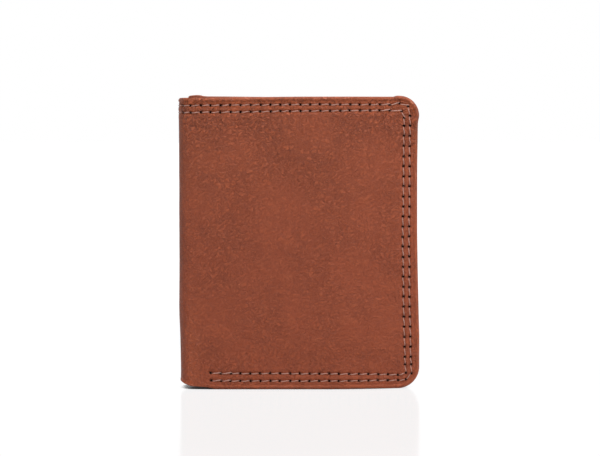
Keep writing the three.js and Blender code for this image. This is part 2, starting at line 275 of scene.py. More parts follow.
def stitched(u, zone):
    """1 where the cover is stitched, fading out where the bottom rows stop."""
    return np.where(zone == FOOT, smooth((u - FOOT_ROW_START + 1.2) / 1.6), 1.0)


def row_holes(index, side):
    """Needle holes of a row as (u, z): top from the spine, corner, free edge, corner, and
    bottom towards the spine."""
    row = ROWS[index]
    rng = np.random.default_rng(11 + 2 * index + (side > 0))
    holes = []

    def add(u, z, loose=1.0, spread=(0.14, 0.06)):
        holes.append((u + loose * rng.uniform(-spread[0], spread[0]),
                      z + loose * rng.uniform(-spread[1], spread[1])))

    for k in range(LONG_STITCHES + 1):
        u = k * TOP_PITCH
        if row.hem_end and k == LONG_STITCHES:
            add(u_at(row.hem_end[0]), row.hem_end[1], 0.5)
        else:
            add(u, float(top_z(u) - row_offset(row, u, 118, TOP)), 0 if k == 0 else 1)
    for x, z in row.top_turn_holes:
        add(u_at(x), z, 0.5)
    free_zs = [TOP_CORNER.z - j * FREE_PITCH for j in range(1, FREE_STITCHES)]
    for z in [row.free_start] + free_zs + [10.0]:
        add(float(free_u(z) - row_offset(row, 100, z, FREE)), z, spread=(0.06, 0.14))
    for x, z in row.foot_turn_holes:
        add(u_at(x), z, 0.5)
    for k in range(LONG_STITCHES, FIRST_FOOT_HOLE - 1, -1):
        u = k * FOOT_PITCH
        add(u, float(row_offset(row, u, 4, FOOT) + foot_z(u) * 0.6))
    return np.array(holes)


HOLES = {(row, side): row_holes(row, side) for row in (0, 1) for side in (FRONT, BACK)}
END_HOLES = [(u_at(-44.1), 102.0 - 4.0 * k) for k in range(25)]   # the pockets' spine ends
FREE_HOLE_ZS = [TOP_CORNER.z - j * FREE_PITCH for j in range(FREE_STITCHES + 1)]
FOOT_HOLE_US = [k * FOOT_PITCH for k in range(FIRST_FOOT_HOLE, LONG_STITCHES + 1)]


def seam_holes(side):
    """Holes of both rows past the hem, and of the pockets' spine ends."""
    return [tuple(p) for row in (0, 1) for p in HOLES[row, side][LONG_STITCHES:]] + END_HOLES


# ---------------------------------------------------------------- surface of the covers
def relief(side, u, z):
    """(height of the outer leather above its plain face, seam weight)."""
    inset, zone = zones(u, z)
    sewn = stitched(u, zone)
    offsets = [row_offset(row, u, z, zone) for row in ROWS]
    phase = stitch_phase(u, z, zone)
    to_hole = np.abs(phase - np.round(phase))
    across = wave_u(side, u)
    # uneven hide, calmer towards the edge
    height = (0.07 * LONG_WAVES(across, z) + 0.035 * MID_WAVES(across, z)
              + 0.011 * SHORT_WAVES(across, z) + 0.004 * TINY_WAVES(across, z))
    height = height * smooth((inset - 0.3) / 3)
    # the turned edge is a bead, with a dip between it and the first row
    heavy = np.where(zone == TOP, 1.0, np.where(zone == TOP_TURN, 1.35, 0.8))
    bead = 0.20 * gauss(inset - 0.95, 0.5) - 0.20 * gauss(inset - 1.9, 0.40)
    height += heavy * bead * np.where(zone == FOOT, sewn, 1)
    # each row lies in a groove, pulled in further at its holes
    seam = np.zeros_like(height)
    for row, offset in zip(ROWS, offsets):
        away = inset - offset
        height -= sewn * gauss(away, 0.55) * (row.groove + 0.06 * np.cos(2 * PI * phase))
        height -= sewn * 0.12 * gauss(to_hole, 0.16) * gauss(away, 1.3)
        # the seam weight later darkens the colour: painted shade in the row's groove
        seam = np.maximum(seam, sewn * gauss(away, 0.6))
    # swellings between the rows and inside the inner one, then the padded middle
    height += sewn * 0.09 * gauss(inset - (offsets[0] + offsets[1]) / 2, 0.8)
    height += sewn * 0.07 * gauss(inset - offsets[1] - 1.7, 1.1)
    height += 0.30 * (1 - np.exp(-np.clip(inset - 6.5, 0, None) / 10)) * smooth((u - 2) / 20)
    # the fold eases off into the cover, and is rounder at the foot
    height -= 0.6 * smooth((19 - u) / 11) * smooth((u - 1.5) / 6)
    height -= 0.45 * smooth((45 - z) / 38) * smooth((11 - u) / 7)
    # the leather is folded over itself at the top corner: a step slantwise to the row
    step = smooth((u - u_at(40.2) - 0.6 * (top_z(u) - z)) / 0.55 + 0.5) * smooth((z - 96) / 16)
    height += 0.24 * step * smooth((3.4 - inset) / 1.0) * smooth(inset / 0.6)
    return height, seam


def needle_pits(side, u, z, inset):
    """(depth share of the needle holes, height share of the rims round them)."""
    near = np.nonzero((inset > 2.0) & (inset < 8.0))[0]
    nearest = np.full(len(near), 9.0)
    for row in (0, 1):
        for hole_u, hole_z in HOLES[row, side]:
            nearest = np.minimum(nearest, np.hypot(u[near] - hole_u, z[near] - hole_z))
    pit, rim = np.zeros(len(u)), np.zeros(len(u))
    pit[near] = np.exp(-((nearest / 0.52) ** 4))
    rim[near] = gauss(nearest - 0.72, 0.28)
    return pit, rim


EDGE_RADIUS = 0.95              # half the thickness of the turned edge


def edge_arc(inset):
    """Half thickness of the turned edge at a distance from its rim."""
    left = EDGE_RADIUS - np.clip(inset, 0, EDGE_RADIUS)
    return np.sqrt(np.clip(EDGE_RADIUS ** 2 - left ** 2, 0, None))


def cover_skin(side, u, z):
    """(depth, pit, seam weight, and a lightening weight for edge use and painted highlights) of
    the outer face.
    """
    inset, zone = zones(u, z)
    height, seam = relief(side, u, z)
    pit, rim = needle_pits(side, u, z, inset)
    height = (height - 0.75 * pit + 0.05 * rim) * smooth((inset + 0.05) / 1.0)
    # lightening: edge wear plus a painted highlight on the turned edge's bead, a painted
    # highlight band low on the fold, and lightening over the stitched border, stronger along the
    # top
    wear_and_highlight = 0.75 * gauss(inset - 0.5, 0.75) + 0.25 * gauss(inset - 1.6, 0.5)
    wear_and_highlight = np.maximum(wear_and_highlight, 0.45 * gauss(u - BEND_Y - 8.0, 3.0) * smooth((50 - z) / 40))
    border = np.where((zone == TOP) | (zone == TOP_TURN), 0.6, 0.22)
    wear_and_highlight = np.maximum(wear_and_highlight, border * smooth((8.5 - inset) / 3.0) * stitched(u, zone))
    # painted highlight: a glint on the folded corner, along a short diagonal
    du, dz = u - u_at(46.4), z - 119.0
    wear_and_highlight = np.maximum(wear_and_highlight, 1.5 * gauss(du + dz, 0.8) * gauss(du - dz, 2.6))
    return EDGE_RADIUS - edge_arc(inset) - height, pit, seam, wear_and_highlight


# ---------------------------------------------------------------- depths of the inner layers
WALL_MARGIN = 2.72              # depth of the inner wall's face where it is sewn to the cover
LEATHER, PRESSED_TAIL = 0.56, 0.22      # thickness of pocket layers pressed in a seam


def slack(u, z, foot=True):
    """0 at the stitched margins of a half, 1 where its layers stand free of each other."""
    free = smooth((u_at(42.4) - u) / 14) * smooth((u - u_at(-43.6)) / 8)
    return free * smooth((z - 7.5) / 10) if foot else free


def wall_depth(u, z):
    flat = smooth((u - BEND_END + 2) / 4)
    return WALL_MARGIN + (WALL_FULL - WALL_MARGIN) * (slack(u, z) * flat + (1 - flat))


def pressed_under(i, z):
    """Thickness, at a seam, of the leather and cloth of the pockets beneath pocket i."""
    total = 0 * z
    for j in range(i):
        foot = MOUTHS[j] - BAND
        total = total + LEATHER * smooth((z - foot) / 1.6 + 0.5)
        total = total + (PRESSED_TAIL * smooth((foot - z) / 1.6 + 0.5)
                         * smooth((z - TAIL_FOOT[j]) / 2 + 0.5))
    return total


def tier_depth(i, u, z):
    """Depth of the face of pocket i, counted from 0 at the highest."""
    margin = WALL_MARGIN + pressed_under(i, z) + (0.72 if i == 3 else LEATHER)
    return margin + (TIER_FULL[i] - margin) * slack(u, z)


def tail_depth(i, u, z):
    margin = WALL_MARGIN + pressed_under(i, z) + 0.2
    return margin + (TIER_FULL[i] - 0.54 - margin) * slack(u, z)


# ---------------------------------------------------------------- unrolled to frame
MIDDLE = 8.85                   # the depth that the leaning stack must not pass


def lean(u, z):
    """How far the stack of a half leans in towards the middle: at the free edge, where the
    stack is thin, and a little at the top and the bottom."""
    at_free = 2.8 * smooth((u - 68) / 38)
    at_ends = 0.28 * np.clip(np.abs(z - 60.5) / 61, 0, 1) ** 4 * smooth((u - BEND_END) / 14)
    return at_free + at_ends


def place(side, u, z, depth):
    """Unrolled coordinates to rows of frame coordinates, in metres."""
    shift = lean(u, z)
    pressed = WALL_MARGIN + 1.9
    deepest = pressed + (TIER_FULL[3] - pressed) * slack(u, z, foot=False)
    # the layers press together only where the leaning stack would cross the middle
    inward = shift + depth * np.minimum(1, (MIDDLE - shift) / (deepest + 0.15))
    angle = np.clip((u - BEND_Y) / BEND_RADIUS, 0, PI / 2)
    radius = BEND_RADIUS - inward
    in_spine, in_bend = u <= BEND_Y, u < BEND_END
    x = np.where(in_spine, SPINE_X + inward,
                 np.where(in_bend, BEND_X - radius * np.cos(angle), BEND_X + u - BEND_END))
    y = np.where(in_spine, u,
                 np.where(in_bend, BEND_Y + radius * np.sin(angle), HALF_THICK - inward))
    return np.stack([x, side * y, z], -1) * MM


# ---------------------------------------------------------------- node trees
def srgb(*channels):
    """A linear colour from channels of 0 to 255."""
    shares = [c / 255 for c in channels]
    return tuple(s / 12.92 if s <= 0.04045 else ((s + 0.055) / 1.055) ** 2.4 for s in shares)


class Nodes:
    """A node tree written as nested calls; most helpers return an output socket."""

    def __init__(self, tree, output="OutputMaterial"):
        self.tree = tree
        tree.nodes.clear()
        self.output = self.add(output)

    def add(self, kind, inputs=None, **settings):
        """A node with its settings, and its inputs given by name or number."""
        node = self.tree.nodes.new("ShaderNode" + kind)
        for key, value in settings.items():
            setattr(node, key, value)
        for key, value in (inputs or {}).items():
            socket = node.inputs[key]
            if isinstance(value, bpy.types.NodeSocket):
                self.tree.links.new(value, socket)
            elif socket.type == "RGBA":
                socket.default_value = (*value, 1)
            elif value is not None:
                socket.default_value = value
        return node

    def finish(self, shader):
        self.tree.links.new(shader.outputs[0], self.output.inputs[0])

    def principled(self, inputs):
        self.finish(self.add("BsdfPrincipled", inputs))

    def vector(self, name):
        return self.add("Attribute", attribute_name=name).outputs["Vector"]

    def value(self, name):
        return self.add("Attribute", attribute_name=name).outputs["Fac"]

    def axes(self, vector):
        return self.add("SeparateXYZ", {0: vector}).outputs

    def math(self, operation, a, b=None, clamp=False):
        return self.add("Math", {0: a, 1: b}, operation=operation, use_clamp=clamp).outputs[0]

    def plus(self, a, b, clamp=False):
        return self.math("ADD", a, b, clamp)

    def minus(self, a, b):
        return self.math("SUBTRACT", a, b)

    def times(self, a, b):
        return self.math("MULTIPLY", a, b)

    def mix(self, a, b, share):
        return self.add("Mix", {0: share, 6: a, 7: b}, data_type="RGBA").outputs[2]

    def noise(self, vector, scale, detail=2, roughness=0.5):
        return self.add("TexNoise", {"Vector": vector, "Scale": scale, "Detail": detail,
                                     "Roughness": roughness}).outputs["Fac"]

    def remap(self, value, span, to=(0, 1), kind="LINEAR"):
        inputs = dict(enumerate((value, *span, *to)))
        return self.add("MapRange", inputs, interpolation_type=kind).outputs[0]

    def ease(self, value, span, to=(0, 1)):
        return self.remap(value, span, to, "SMOOTHSTEP")

    def cells(self, vector, scale, border):
        """0 on the borders of random cells, 1 inside them."""
        voronoi = self.add("TexVoronoi", {"Vector": vector, "Scale": scale},
                           feature="DISTANCE_TO_EDGE")
        return self.ease(voronoi.outputs["Distance"], span=(0.0, border))

    def stretch(self, vector, scale, turn=0.0):
        return self.add("Mapping", {"Vector": vector, "Scale": scale,
                                    "Rotation": (0, 0, turn)}).outputs[0]

    def bumps(self, *layers):
        """Stacked bumps, each (height, strength, distance in metres)."""
        normal = None
        for height, strength, distance in layers:
            inputs = {"Height": height, "Strength": strength, "Distance": distance,
                      "Normal": normal}
            normal = self.add("Bump", inputs).outputs[0]
        return normal


def new_material(name):
    material = bpy.data.materials.new(name)
    material.use_nodes = True
    return material, Nodes(material.node_tree)


# ---------------------------------------------------------------- materials
def leather(name, base, light, dark, roughness, grain, cover=False):
    """Grained leather: mottled colour, pores, soft wrinkles with painted shade in their creases
    and painted highlights on their cells, edges lightened by use and by painted highlights, and
    painted shade along the stitched rows and in the needle holes. On the covers the grain
    changes over the face, and the colour grows lighter towards the top."""
    material, n = new_material(name)
    coords = n.vector("st")
    broad = n.noise(coords, scale=0.045, detail=3)
    mid = n.noise(coords, scale=0.22, detail=4, roughness=0.6)
    small = n.noise(coords, scale=0.9, detail=4, roughness=0.6)
    color = n.mix(dark, base, n.ease(broad, span=(0.3, 0.6), to=(0.90, 1)))
    color = n.mix(color, light, n.times(n.ease(mid, span=(0.46, 0.78)), 0.30))
    color = n.mix(color, dark, n.times(n.ease(small, span=(0.45, 0.75)), 0.45))
    # wrinkles run slantwise, and are stronger in some places than in others
    warp = n.noise(n.stretch(coords, scale=(1, 1, 1)), scale=0.35)
    sway = n.add("CombineXYZ", {0: n.times(warp, 3.2), 1: n.times(small, 0.9)}).outputs[0]
    slanted = n.stretch(coords, scale=(0.85, 1.15, 1), turn=-0.85)
    bent = n.add("VectorMath", {0: slanted, 1: sway}, operation="ADD").outputs[0]
    ridged = n.noise(bent, scale=0.56, detail=5, roughness=0.62)
    crease = n.ease(n.math("ABSOLUTE", n.minus(ridged, 0.5)), span=(0.0, 0.085))
    cells = n.cells(bent, scale=1.15, border=0.22)
    pores = n.cells(coords, scale=2.3, border=0.16)
    micro = n.noise(coords, scale=6.0, detail=3, roughness=0.6)
    wrinkled = n.ease(n.noise(coords, scale=0.05), span=(0.35, 0.65), to=(0.6, 1.0))
    if cover:
        x, z = n.axes(coords)[:2]
        up = n.remap(z, span=(30, 105), to=(0.76, 1.02))
        up = n.plus(up, n.remap(z, span=(84, 112), to=(0.0, 0.38)))
        sideways = n.remap(x, span=(15, 95), to=(1.1, 0.85))
        wrinkled = n.times(wrinkled, n.times(up, sideways))
        # lighter towards the top, on the front more so near the spine
        lighter_towards_top = n.times(n.remap(z, span=(60, 122), to=(0.0, 0.36)),
                       n.remap(x, span=(0, 90), to=(1.15, 0.6)))
        color = n.mix(color, light, lighter_towards_top)
    # painted shade in the creases and cell borders, painted highlight on the raised cells
    color = n.mix(color, dark, n.times(n.minus(1.0, crease), n.times(wrinkled, 0.13)))
    color = n.mix(color, dark, n.times(n.minus(1.0, cells), n.times(wrinkled, 0.10)))
    color = n.mix(color, light, n.times(n.times(crease, cells), n.times(wrinkled, 0.33)))
    # lighter with edge wear and with the painted highlights on the hem bead and the fold, and a
    # paler painted glint on the folded corner where the value is highest; then painted shade
    # along the stitched rows and in the needle holes
    wear_and_highlight = n.value("wear_and_highlight")
    wear_and_highlight_share = n.times(wear_and_highlight, n.remap(mid, span=(0.3, 0.7), to=(0.35, 0.8)))
    color = n.mix(color, light, wear_and_highlight_share)
    # painted glint: a pale tan where the value passes 0.95, which happens only on the folded
    # corner
    painted_glint = n.remap(wear_and_highlight, span=(0.95, 1.5), to=(0.0, 0.7))
    color = n.mix(color, srgb(214, 142, 112), painted_glint)
    # painted shade along the stitched rows, in their grooves
    color = n.mix(color, dark, n.times(n.value("seam"), 0.06))
    # painted shade in the needle holes, nearly black at their middles
    painted_hole_shade = n.remap(n.value("pit"), span=(0.0, 0.7), to=(0.0, 0.98))
    color = n.mix(color, srgb(22, 9, 7), painted_hole_shade)
    # duller in grain, cell borders and holes, shinier on edges polished by use and where
    # highlights are painted
    rough = n.plus(roughness - 0.07, n.times(small, 0.14))
    rough = n.plus(rough, n.times(n.minus(1.0, cells), 0.06))
    rough = n.minus(rough, n.times(wear_and_highlight, 0.22))
    rough = n.plus(rough, n.times(n.value("pit"), 0.4), clamp=True)
    normal = n.bumps((micro, 0.4 * grain, 0.00004),
                     (pores, 0.5 * grain, 0.00004),
                     (n.times(cells, wrinkled), 0.9 * grain, 0.00017),
                     (n.times(crease, wrinkled), 0.9 * grain, 0.00029),
                     (mid, 0.6 * grain, 0.00034))
    n.principled({"Base Color": color, "Roughness": rough, "IOR": 1.46,
                  "Specular IOR Level": 0.36, "Normal": normal})
    return material


def cloth(name, base, light, pitch):
    """A plain weave with threads `pitch` millimetres apart."""
    material, n = new_material(name)
    coords = n.vector("st")
    x, z = n.axes(coords)[:2]
    phases = [n.times(axis, PI / pitch) for axis in (x, z)]
    sine_x, sine_z = [n.math("SINE", phase) for phase in phases]
    warp = n.math("ABSOLUTE", sine_x)
    weft = n.math("ABSOLUTE", sine_z)
    over = n.math("GREATER_THAN", n.times(sine_x, sine_z), 0.0)
    height = n.plus(n.times(warp, over), n.times(weft, n.minus(1.0, over)))
    slub = n.noise(n.stretch(coords, scale=(3.0, 0.35, 1)), scale=0.6, detail=3, roughness=0.6)
    mottle = n.noise(coords, scale=0.12, detail=3)
    lit = n.times(height, n.remap(slub, span=(0.3, 0.7), to=(0.25, 0.8)))
    color = n.mix(base, light, lit)
    color = n.mix(color, base, n.remap(mottle, span=(0.35, 0.7), to=(0, 0.5)))
    n.principled({"Base Color": color, "Roughness": 0.85, "Sheen Weight": 0.25,
                  "Normal": n.bumps((height, 0.8, 0.00006), (slub, 0.4, 0.00008))})
    return material


def thread_material():
    """Twisted thread: st holds the run along it and the angle round it, co its place."""
    material, n = new_material("sewing_thread")
    along, around = n.axes(n.vector("st"))[:2]
    twist_pitch = 0.55
    twist = n.plus(n.times(along, 2 * PI / twist_pitch), n.times(around, 2.0))
    twist = n.remap(n.math("SINE", twist), span=(-1, 1))
    fuzz = n.noise(n.vector("co"), scale=3.0, detail=4, roughness=0.7)
    slow = n.noise(n.vector("co"), scale=0.12)
    lit = n.times(twist, n.remap(fuzz, span=(0.25, 0.7), to=(0.5, 1.0)))
    color = n.mix(srgb(140, 92, 78), srgb(200, 154, 138), lit)
    color = n.mix(color, srgb(176, 124, 108), n.remap(slow, span=(0.4, 0.65), to=(0, 0.55)))
    n.principled({"Base Color": color, "Roughness": 0.62, "Sheen Weight": 0.35,
                  "Normal": n.bumps((twist, 0.9, 0.00006), (fuzz, 0.4, 0.00003))})
    return material


def film_material():
    material, n = new_material("clear_film")
    coords = n.vector("st")
    haze = n.noise(n.stretch(coords, scale=(1, 0.25, 1), turn=0.5), scale=0.5, detail=3,
                   roughness=0.6)
    wavy = n.noise(coords, scale=0.07)
    n.principled({"Base Color": srgb(128, 129, 128), "Specular IOR Level": 1.0, "IOR": 1.45,
                  "Roughness": n.remap(haze, span=(0.35, 0.7), to=(0.05, 0.16)),
                  "Alpha": n.remap(haze, span=(0.35, 0.7), to=(0.06, 0.11)),
                  "Normal": n.bumps((wavy, 0.3, 0.0006))})
    return material


OUTER_LEATHER = leather(
    "tan_leather_outer", base=srgb(140, 64, 35), light=srgb(171, 87, 51),
    dark=srgb(105, 43, 23), roughness=0.52, grain=1.0, cover=True)
INNER_LEATHER = leather(
    "tan_leather_inner", base=srgb(134, 64, 40), light=srgb(162, 88, 59),
    dark=srgb(102, 44, 27), roughness=0.56, grain=0.75)
POCKET_LEATHER = leather(
    "tan_leather_pocket", base=srgb(143, 69, 43), light=srgb(174, 95, 63),
    dark=srgb(109, 47, 28), roughness=0.53, grain=0.8)
LINING = cloth("lining_weave", base=srgb(74, 49, 36), light=srgb(112, 80, 60), pitch=0.42)
TAIL_CLOTH = cloth("tail_weave", base=srgb(84, 56, 42), light=srgb(128, 92, 70), pitch=0.5)
THREAD = thread_material()
FILM = film_material()


# ---------------------------------------------------------------- mesh building
def volume_sign(verts, faces):
    """Positive where the faces wind outwards."""
    total = 0.0
    centre = verts.mean(0)
    by_size = {}
    for face in faces:
        by_size.setdefault(len(face), []).append(face)
    for size, group in by_size.items():
        ids = np.array(group)
        first = verts[ids[:, 0]] - centre
        for i in range(1, size - 1):
            normal = np.cross(verts[ids[:, i]] - centre, verts[ids[:, i + 1]] - centre)
            total += np.einsum("ij,ij->i", first, normal).sum()
    return total


def orient(verts, faces):
    """Makes all faces wind the same way."""
    mesh = bmesh.new()
    points = [mesh.verts.new(p) for p in verts]
    for face in faces:
        try:
            mesh.faces.new([points[i] for i in face])
        except ValueError:
            # a face that exists already or uses a vertex twice is left out
            pass
    bmesh.ops.recalc_face_normals(mesh, faces=mesh.faces)
    mesh.verts.index_update()
    turned = [tuple(p.index for p in face.verts) for face in mesh.faces]
    mesh.free()
    return turned


def build(name, verts, faces, material, attributes, cap=None):
    """A smooth object; the edges between vertices of `cap` are sharp."""
    if volume_sign(verts, faces) < 0:
        faces = [tuple(reversed(f)) for f in faces]
    mesh = bpy.data.meshes.new(name)
    mesh.from_pydata(verts.tolist(), [], [list(map(int, f)) for f in faces])
    mesh.update()
    mesh.polygons.foreach_set("use_smooth", np.ones(len(mesh.polygons), bool))
    for key, values in attributes.items():
        values = np.asarray(values, np.float32)
        is_vector = values.ndim == 2
        layer = mesh.attributes.new(key, "FLOAT_VECTOR" if is_vector else "FLOAT", "POINT")
        layer.data.foreach_set("vector" if is_vector else "value", values.ravel())
    if cap is not None:
        on_cap = np.zeros(len(verts), bool)
        on_cap[cap] = True
        ends = np.zeros(len(mesh.edges) * 2, np.int64)
        mesh.edges.foreach_get("vertices", ends)
        layer = mesh.attributes.new("sharp_edge", "BOOLEAN", "EDGE")
        layer.data.foreach_set("value", on_cap[ends.reshape(-1, 2)].all(1))
    mesh.materials.append(material)
    ob = bpy.data.objects.new(name, mesh)
    bpy.context.scene.collection.objects.link(ob)
    return ob


def grid_faces(ids, flip=False):
    """Quads over a 2-D array of vertex numbers."""
    quads = np.stack([ids[:-1, :-1], ids[1:, :-1], ids[1:, 1:], ids[:-1, 1:]], -1).reshape(-1, 4)
    return [tuple(q) for q in (quads[:, ::-1] if flip else quads)]


def surface_attributes(side, u, z, depth, pit, seam, wear_and_highlight, shift=(0, 0)):
    """st places the textures, moved by `shift` so that pieces differ."""
    coords = np.stack([-side * u + shift[0], z + shift[1], 0.6 * depth], -1)
    return {"st": coords, "pit": pit, "seam": seam, "wear_and_highlight": wear_and_highlight}


def ride_half(ob, side, slot, *nodes):
    """Fixes a piece to its half."""
    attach(ob, HALF_NAMES[side] + "_half")
    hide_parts(*nodes)


# Where each layer's bend starts and ends: (x, y) in the front half, on the spine's side of the
# hinge and on the half's side
COVER_BEND = ((-50.0, -4.5), (-45.5, -9.0))
LINING_BEND = ((-49.2, -3.7), (-44.7, -8.2))
DIVIDER_BEND = ((-48.4, -2.9), (-44.2, -7.1))
WALL_BEND = ((-46.85, -0.5), (-43.39, -3.96))


def bend_round(ob, side, bend, slot, *nodes):
    """Bakes a piece's placement into its mesh and hides the CAD pieces it stands for."""
    if side == FRONT:
        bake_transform(ob)
    else:
        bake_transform(ob)
    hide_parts(*nodes)


# ---------------------------------------------------------------- cover leather
def pitch_lines(pitch, count):
    """Grid lines over `count` stitches, closer together near the holes."""
    pattern = np.array([0, 0.2, 0.45, 0.95, pitch / 2, pitch - 0.95, pitch - 0.45, pitch - 0.2])
    return np.concatenate([k * pitch + pattern for k in range(count)] + [[count * pitch]])


TOP_US = pitch_lines(TOP_PITCH, LONG_STITCHES)
FOOT_US = TOP_US * (FOOT_CORNER.u / TOP_CORNER.u)
FREE_ZS = TOP_CORNER.z - pitch_lines(FREE_PITCH, FREE_STITCHES)
CORNER_STEPS = 24


def edge_insets(*degrees):
    return [EDGE_RADIUS * (1 - math.cos(math.radians(t))) for t in degrees]


# Distances of the rings of points from the edge, on the outer face and on its reverse
OUTER_RINGS = edge_insets(0, 15, 30, 45, 60, 75, 90) + [
    1.2, 1.45, 1.7, 1.95, 2.2, 2.42, 2.62, 2.8, 2.96, 3.1, 3.24, 3.38, 3.54, 3.72, 3.94, 4.2,
    4.46, 4.72, 4.98, 5.2, 5.4, 5.56, 5.7, 5.84, 5.98, 6.12, 6.28, 6.46, 6.7, 7.0, 7.4, 8.0]
TURNED_RINGS = edge_insets(15, 30, 45, 60, 75, 90) + [2.5, 5.0, 9.0]
TURN_END = 9.06                 # where the turned edge drops to the bare reverse
REVERSE_DEPTH = 1.25            # depth of the bare reverse


def corner_arc(corner, inset, start, end):
    t = np.radians(np.linspace(start, end, CORNER_STEPS + 1)[1:-1])
    radius = max(corner.radius - inset, 0.05)
    return np.stack([corner.u + radius * np.cos(t), corner.z + radius * np.sin(t)], -1)


def perimeter(inset):
    """Points at a distance from the edge, from the spine's top round to its foot."""
    foot = FOOT_US[::-1]
    points = np.concatenate([
        np.stack([TOP_US, top_z(TOP_US) - inset], -1),
        corner_arc(TOP_CORNER, inset, 90, 0),
        np.stack([free_u(FREE_ZS) - inset, FREE_ZS], -1),
        corner_arc(FOOT_CORNER, inset, 0, -90),
        np.stack([foot, foot_z(foot) + inset], -1)])
    if inset > TOP_CORNER.radius - 0.3:      # keep the top's end beside the shrunken corner
        points[:len(TOP_US), 0] = np.minimum(points[:len(TOP_US), 0], TOP_CORNER.u)
    return points.T


class Points:
    """Collects rows of (u, z, depth, pit, seam, and the lightening weight for edge use and
    painted highlights) and numbers them.
    """

    def __init__(self):
        self.rows = []
        self.count = 0

    def add(self, u, z, depth, pit=0, seam=0, wear_and_highlight=0):
        self.rows.append(np.stack(np.broadcast_arrays(u, z, depth, pit, seam, wear_and_highlight), -1))
        start = self.count
        self.count += len(u)
        return np.arange(start, self.count)


def fill_centre(points, last, inset, step_u, step_z, skin, flip=False):
    """Fills the middle with a coarser grid joined to the last ring. Every step_u-th and
    step_z-th line of the ring goes on; skin(u, z) gives the depth and marks."""
    share_u = TOP_US[::step_u] / TOP_CORNER.u
    height = TOP_CORNER.z - FOOT_CORNER.z
    share_z = ((FREE_ZS[::step_z] - FOOT_CORNER.z) / height)[:, None]
    u = share_u * (free_u(FOOT_CORNER.z + share_z * height) - inset)
    top, foot = top_z(u) - inset, foot_z(u) + inset
    z = foot + share_z * (top - foot)
    ids = points.add(u.ravel(), z.ravel(), *skin(u.ravel(), z.ravel())).reshape(u.shape)
    faces = grid_faces(ids)

    top_count = len(TOP_US)
    free_start = top_count + CORNER_STEPS - 1
    free_end = free_start + len(FREE_ZS)
    top, free, foot = last[:top_count], last[free_start:free_end], last[-top_count:][::-1]
    for i in range(u.shape[1] - 1):
        span = slice(i * step_u, (i + 1) * step_u + 1)
        faces.append(tuple(top[span][::-1]) + (ids[0, i], ids[0, i + 1]))
        faces.append(tuple(foot[span]) + (ids[-1, i + 1], ids[-1, i]))
    for j in range(u.shape[0] - 1):
        span = slice(j * step_z, (j + 1) * step_z + 1)
        faces.append(tuple(free[span][::-1]) + (ids[j, -1], ids[j + 1, -1]))
    faces.append(tuple(last[top_count - 1:free_start + 1][::-1]) + (ids[0, -1],))
    faces.append(tuple(last[free_end - 1:free_end + CORNER_STEPS][::-1]) + (ids[-1, -1],))
    return ids, [f[::-1] for f in faces] if flip else faces


def make_cover(side):
    points = Points()
    outer = []
    for inset in OUTER_RINGS:
        u, z = perimeter(inset)
        depth, *marks = cover_skin(side, u, z)
        outer.append(points.add(u, z, EDGE_RADIUS if inset == 0 else depth, *marks))
    turned = [outer[0]]
    for inset in TURNED_RINGS:
        turned.append(points.add(*perimeter(inset), EDGE_RADIUS + edge_arc(inset)))
    turned.append(points.add(*perimeter(TURN_END), REVERSE_DEPTH))
    face_ids, face = fill_centre(points, outer[-1], 8.6, 2, 2,
                                 lambda u, z: cover_skin(side, u, z))
    reverse_ids, reverse = fill_centre(points, turned[-1], 9.6, 2, 8,
                                       lambda u, z: (REVERSE_DEPTH,), flip=True)
    # flat cap in the middle of the spine
    cap = [ring[0] for ring in outer] + list(face_ids[:, 0]) + [r[-1] for r in outer[::-1]]
    cap += [ring[-1] for ring in turned[1:]] + list(reverse_ids[::-1, 0])
    cap += [ring[0] for ring in turned[:0:-1]]
    faces = grid_faces(np.array(outer)) + grid_faces(np.array(turned), flip=True)
    faces += face + reverse + [tuple(cap)]
    columns = np.concatenate(points.rows).T
    verts = place(side, *columns[:3])
    half = HALF_NAMES[side]
    ob = build(f"cover_leather_{half}", verts, orient(verts, faces), OUTER_LEATHER,
               surface_attributes(side, *columns), cap)
    bend_round(ob, side, COVER_BEND, "outer_leather", f"shell_{half}", "shell_spine")


# ---------------------------------------------------------------- thin layers
def along(line, shares):
    """Points at shares of a polyline's length."""
    line = np.array(line, float)
    run = np.r_[0, np.cumsum(np.hypot(*np.diff(line, axis=0).T))]
    return np.stack([np.interp(shares * run[-1], run, line[:, k]) for k in (0, 1)], -1)


def coons(outline, shares_u, shares_z):
    """Grid of (u, z) between four boundary lines: bottom, right, top and left."""
    bottom, right, top, left = outline
    bottom, top = along(bottom, shares_u), along(top, shares_u)
    left, right = along(left, shares_z), along(right, shares_z)
    s, t = shares_u[None, :, None], shares_z[:, None, None]
    corners = ((1 - s) * (1 - t) * bottom[0] + s * (1 - t) * bottom[-1]
               + (1 - s) * t * top[0] + s * t * top[-1])
    grid = ((1 - t) * bottom[None] + t * top[None] + (1 - s) * left[:, None]
            + s * right[:, None] - corners)
    return grid[..., 0], grid[..., 1]


# Grid lines close to a rounded edge
NEAR_EDGE = (0, 0.03, 0.08, 0.16, 0.28, 0.45, 0.7, 1.05, 1.5, 2.0, 2.6)
NEAR_HOLE = (-0.5, -0.25, 0, 0.25, 0.5)


def edge_lines(length, step, extra=(), near=NEAR_EDGE):
    """Shares of a side for its grid lines: close together at both ends, `step` between, plus
    extra places."""
    lines = [x for x in near if x < length / 2] + [length - x for x in near if x < length / 2]
    lines += list(np.arange(near[-1] + step, length - near[-1], step))
    lines += [x for x in extra if 3 < x < length - 3]
    lines = np.unique(np.round(lines, 4))
    kept = [lines[0]]
    for x in lines[1:]:
        if x - kept[-1] > 0.025:
            kept.append(x)
    kept[-1] = length
    return np.array(kept) / length


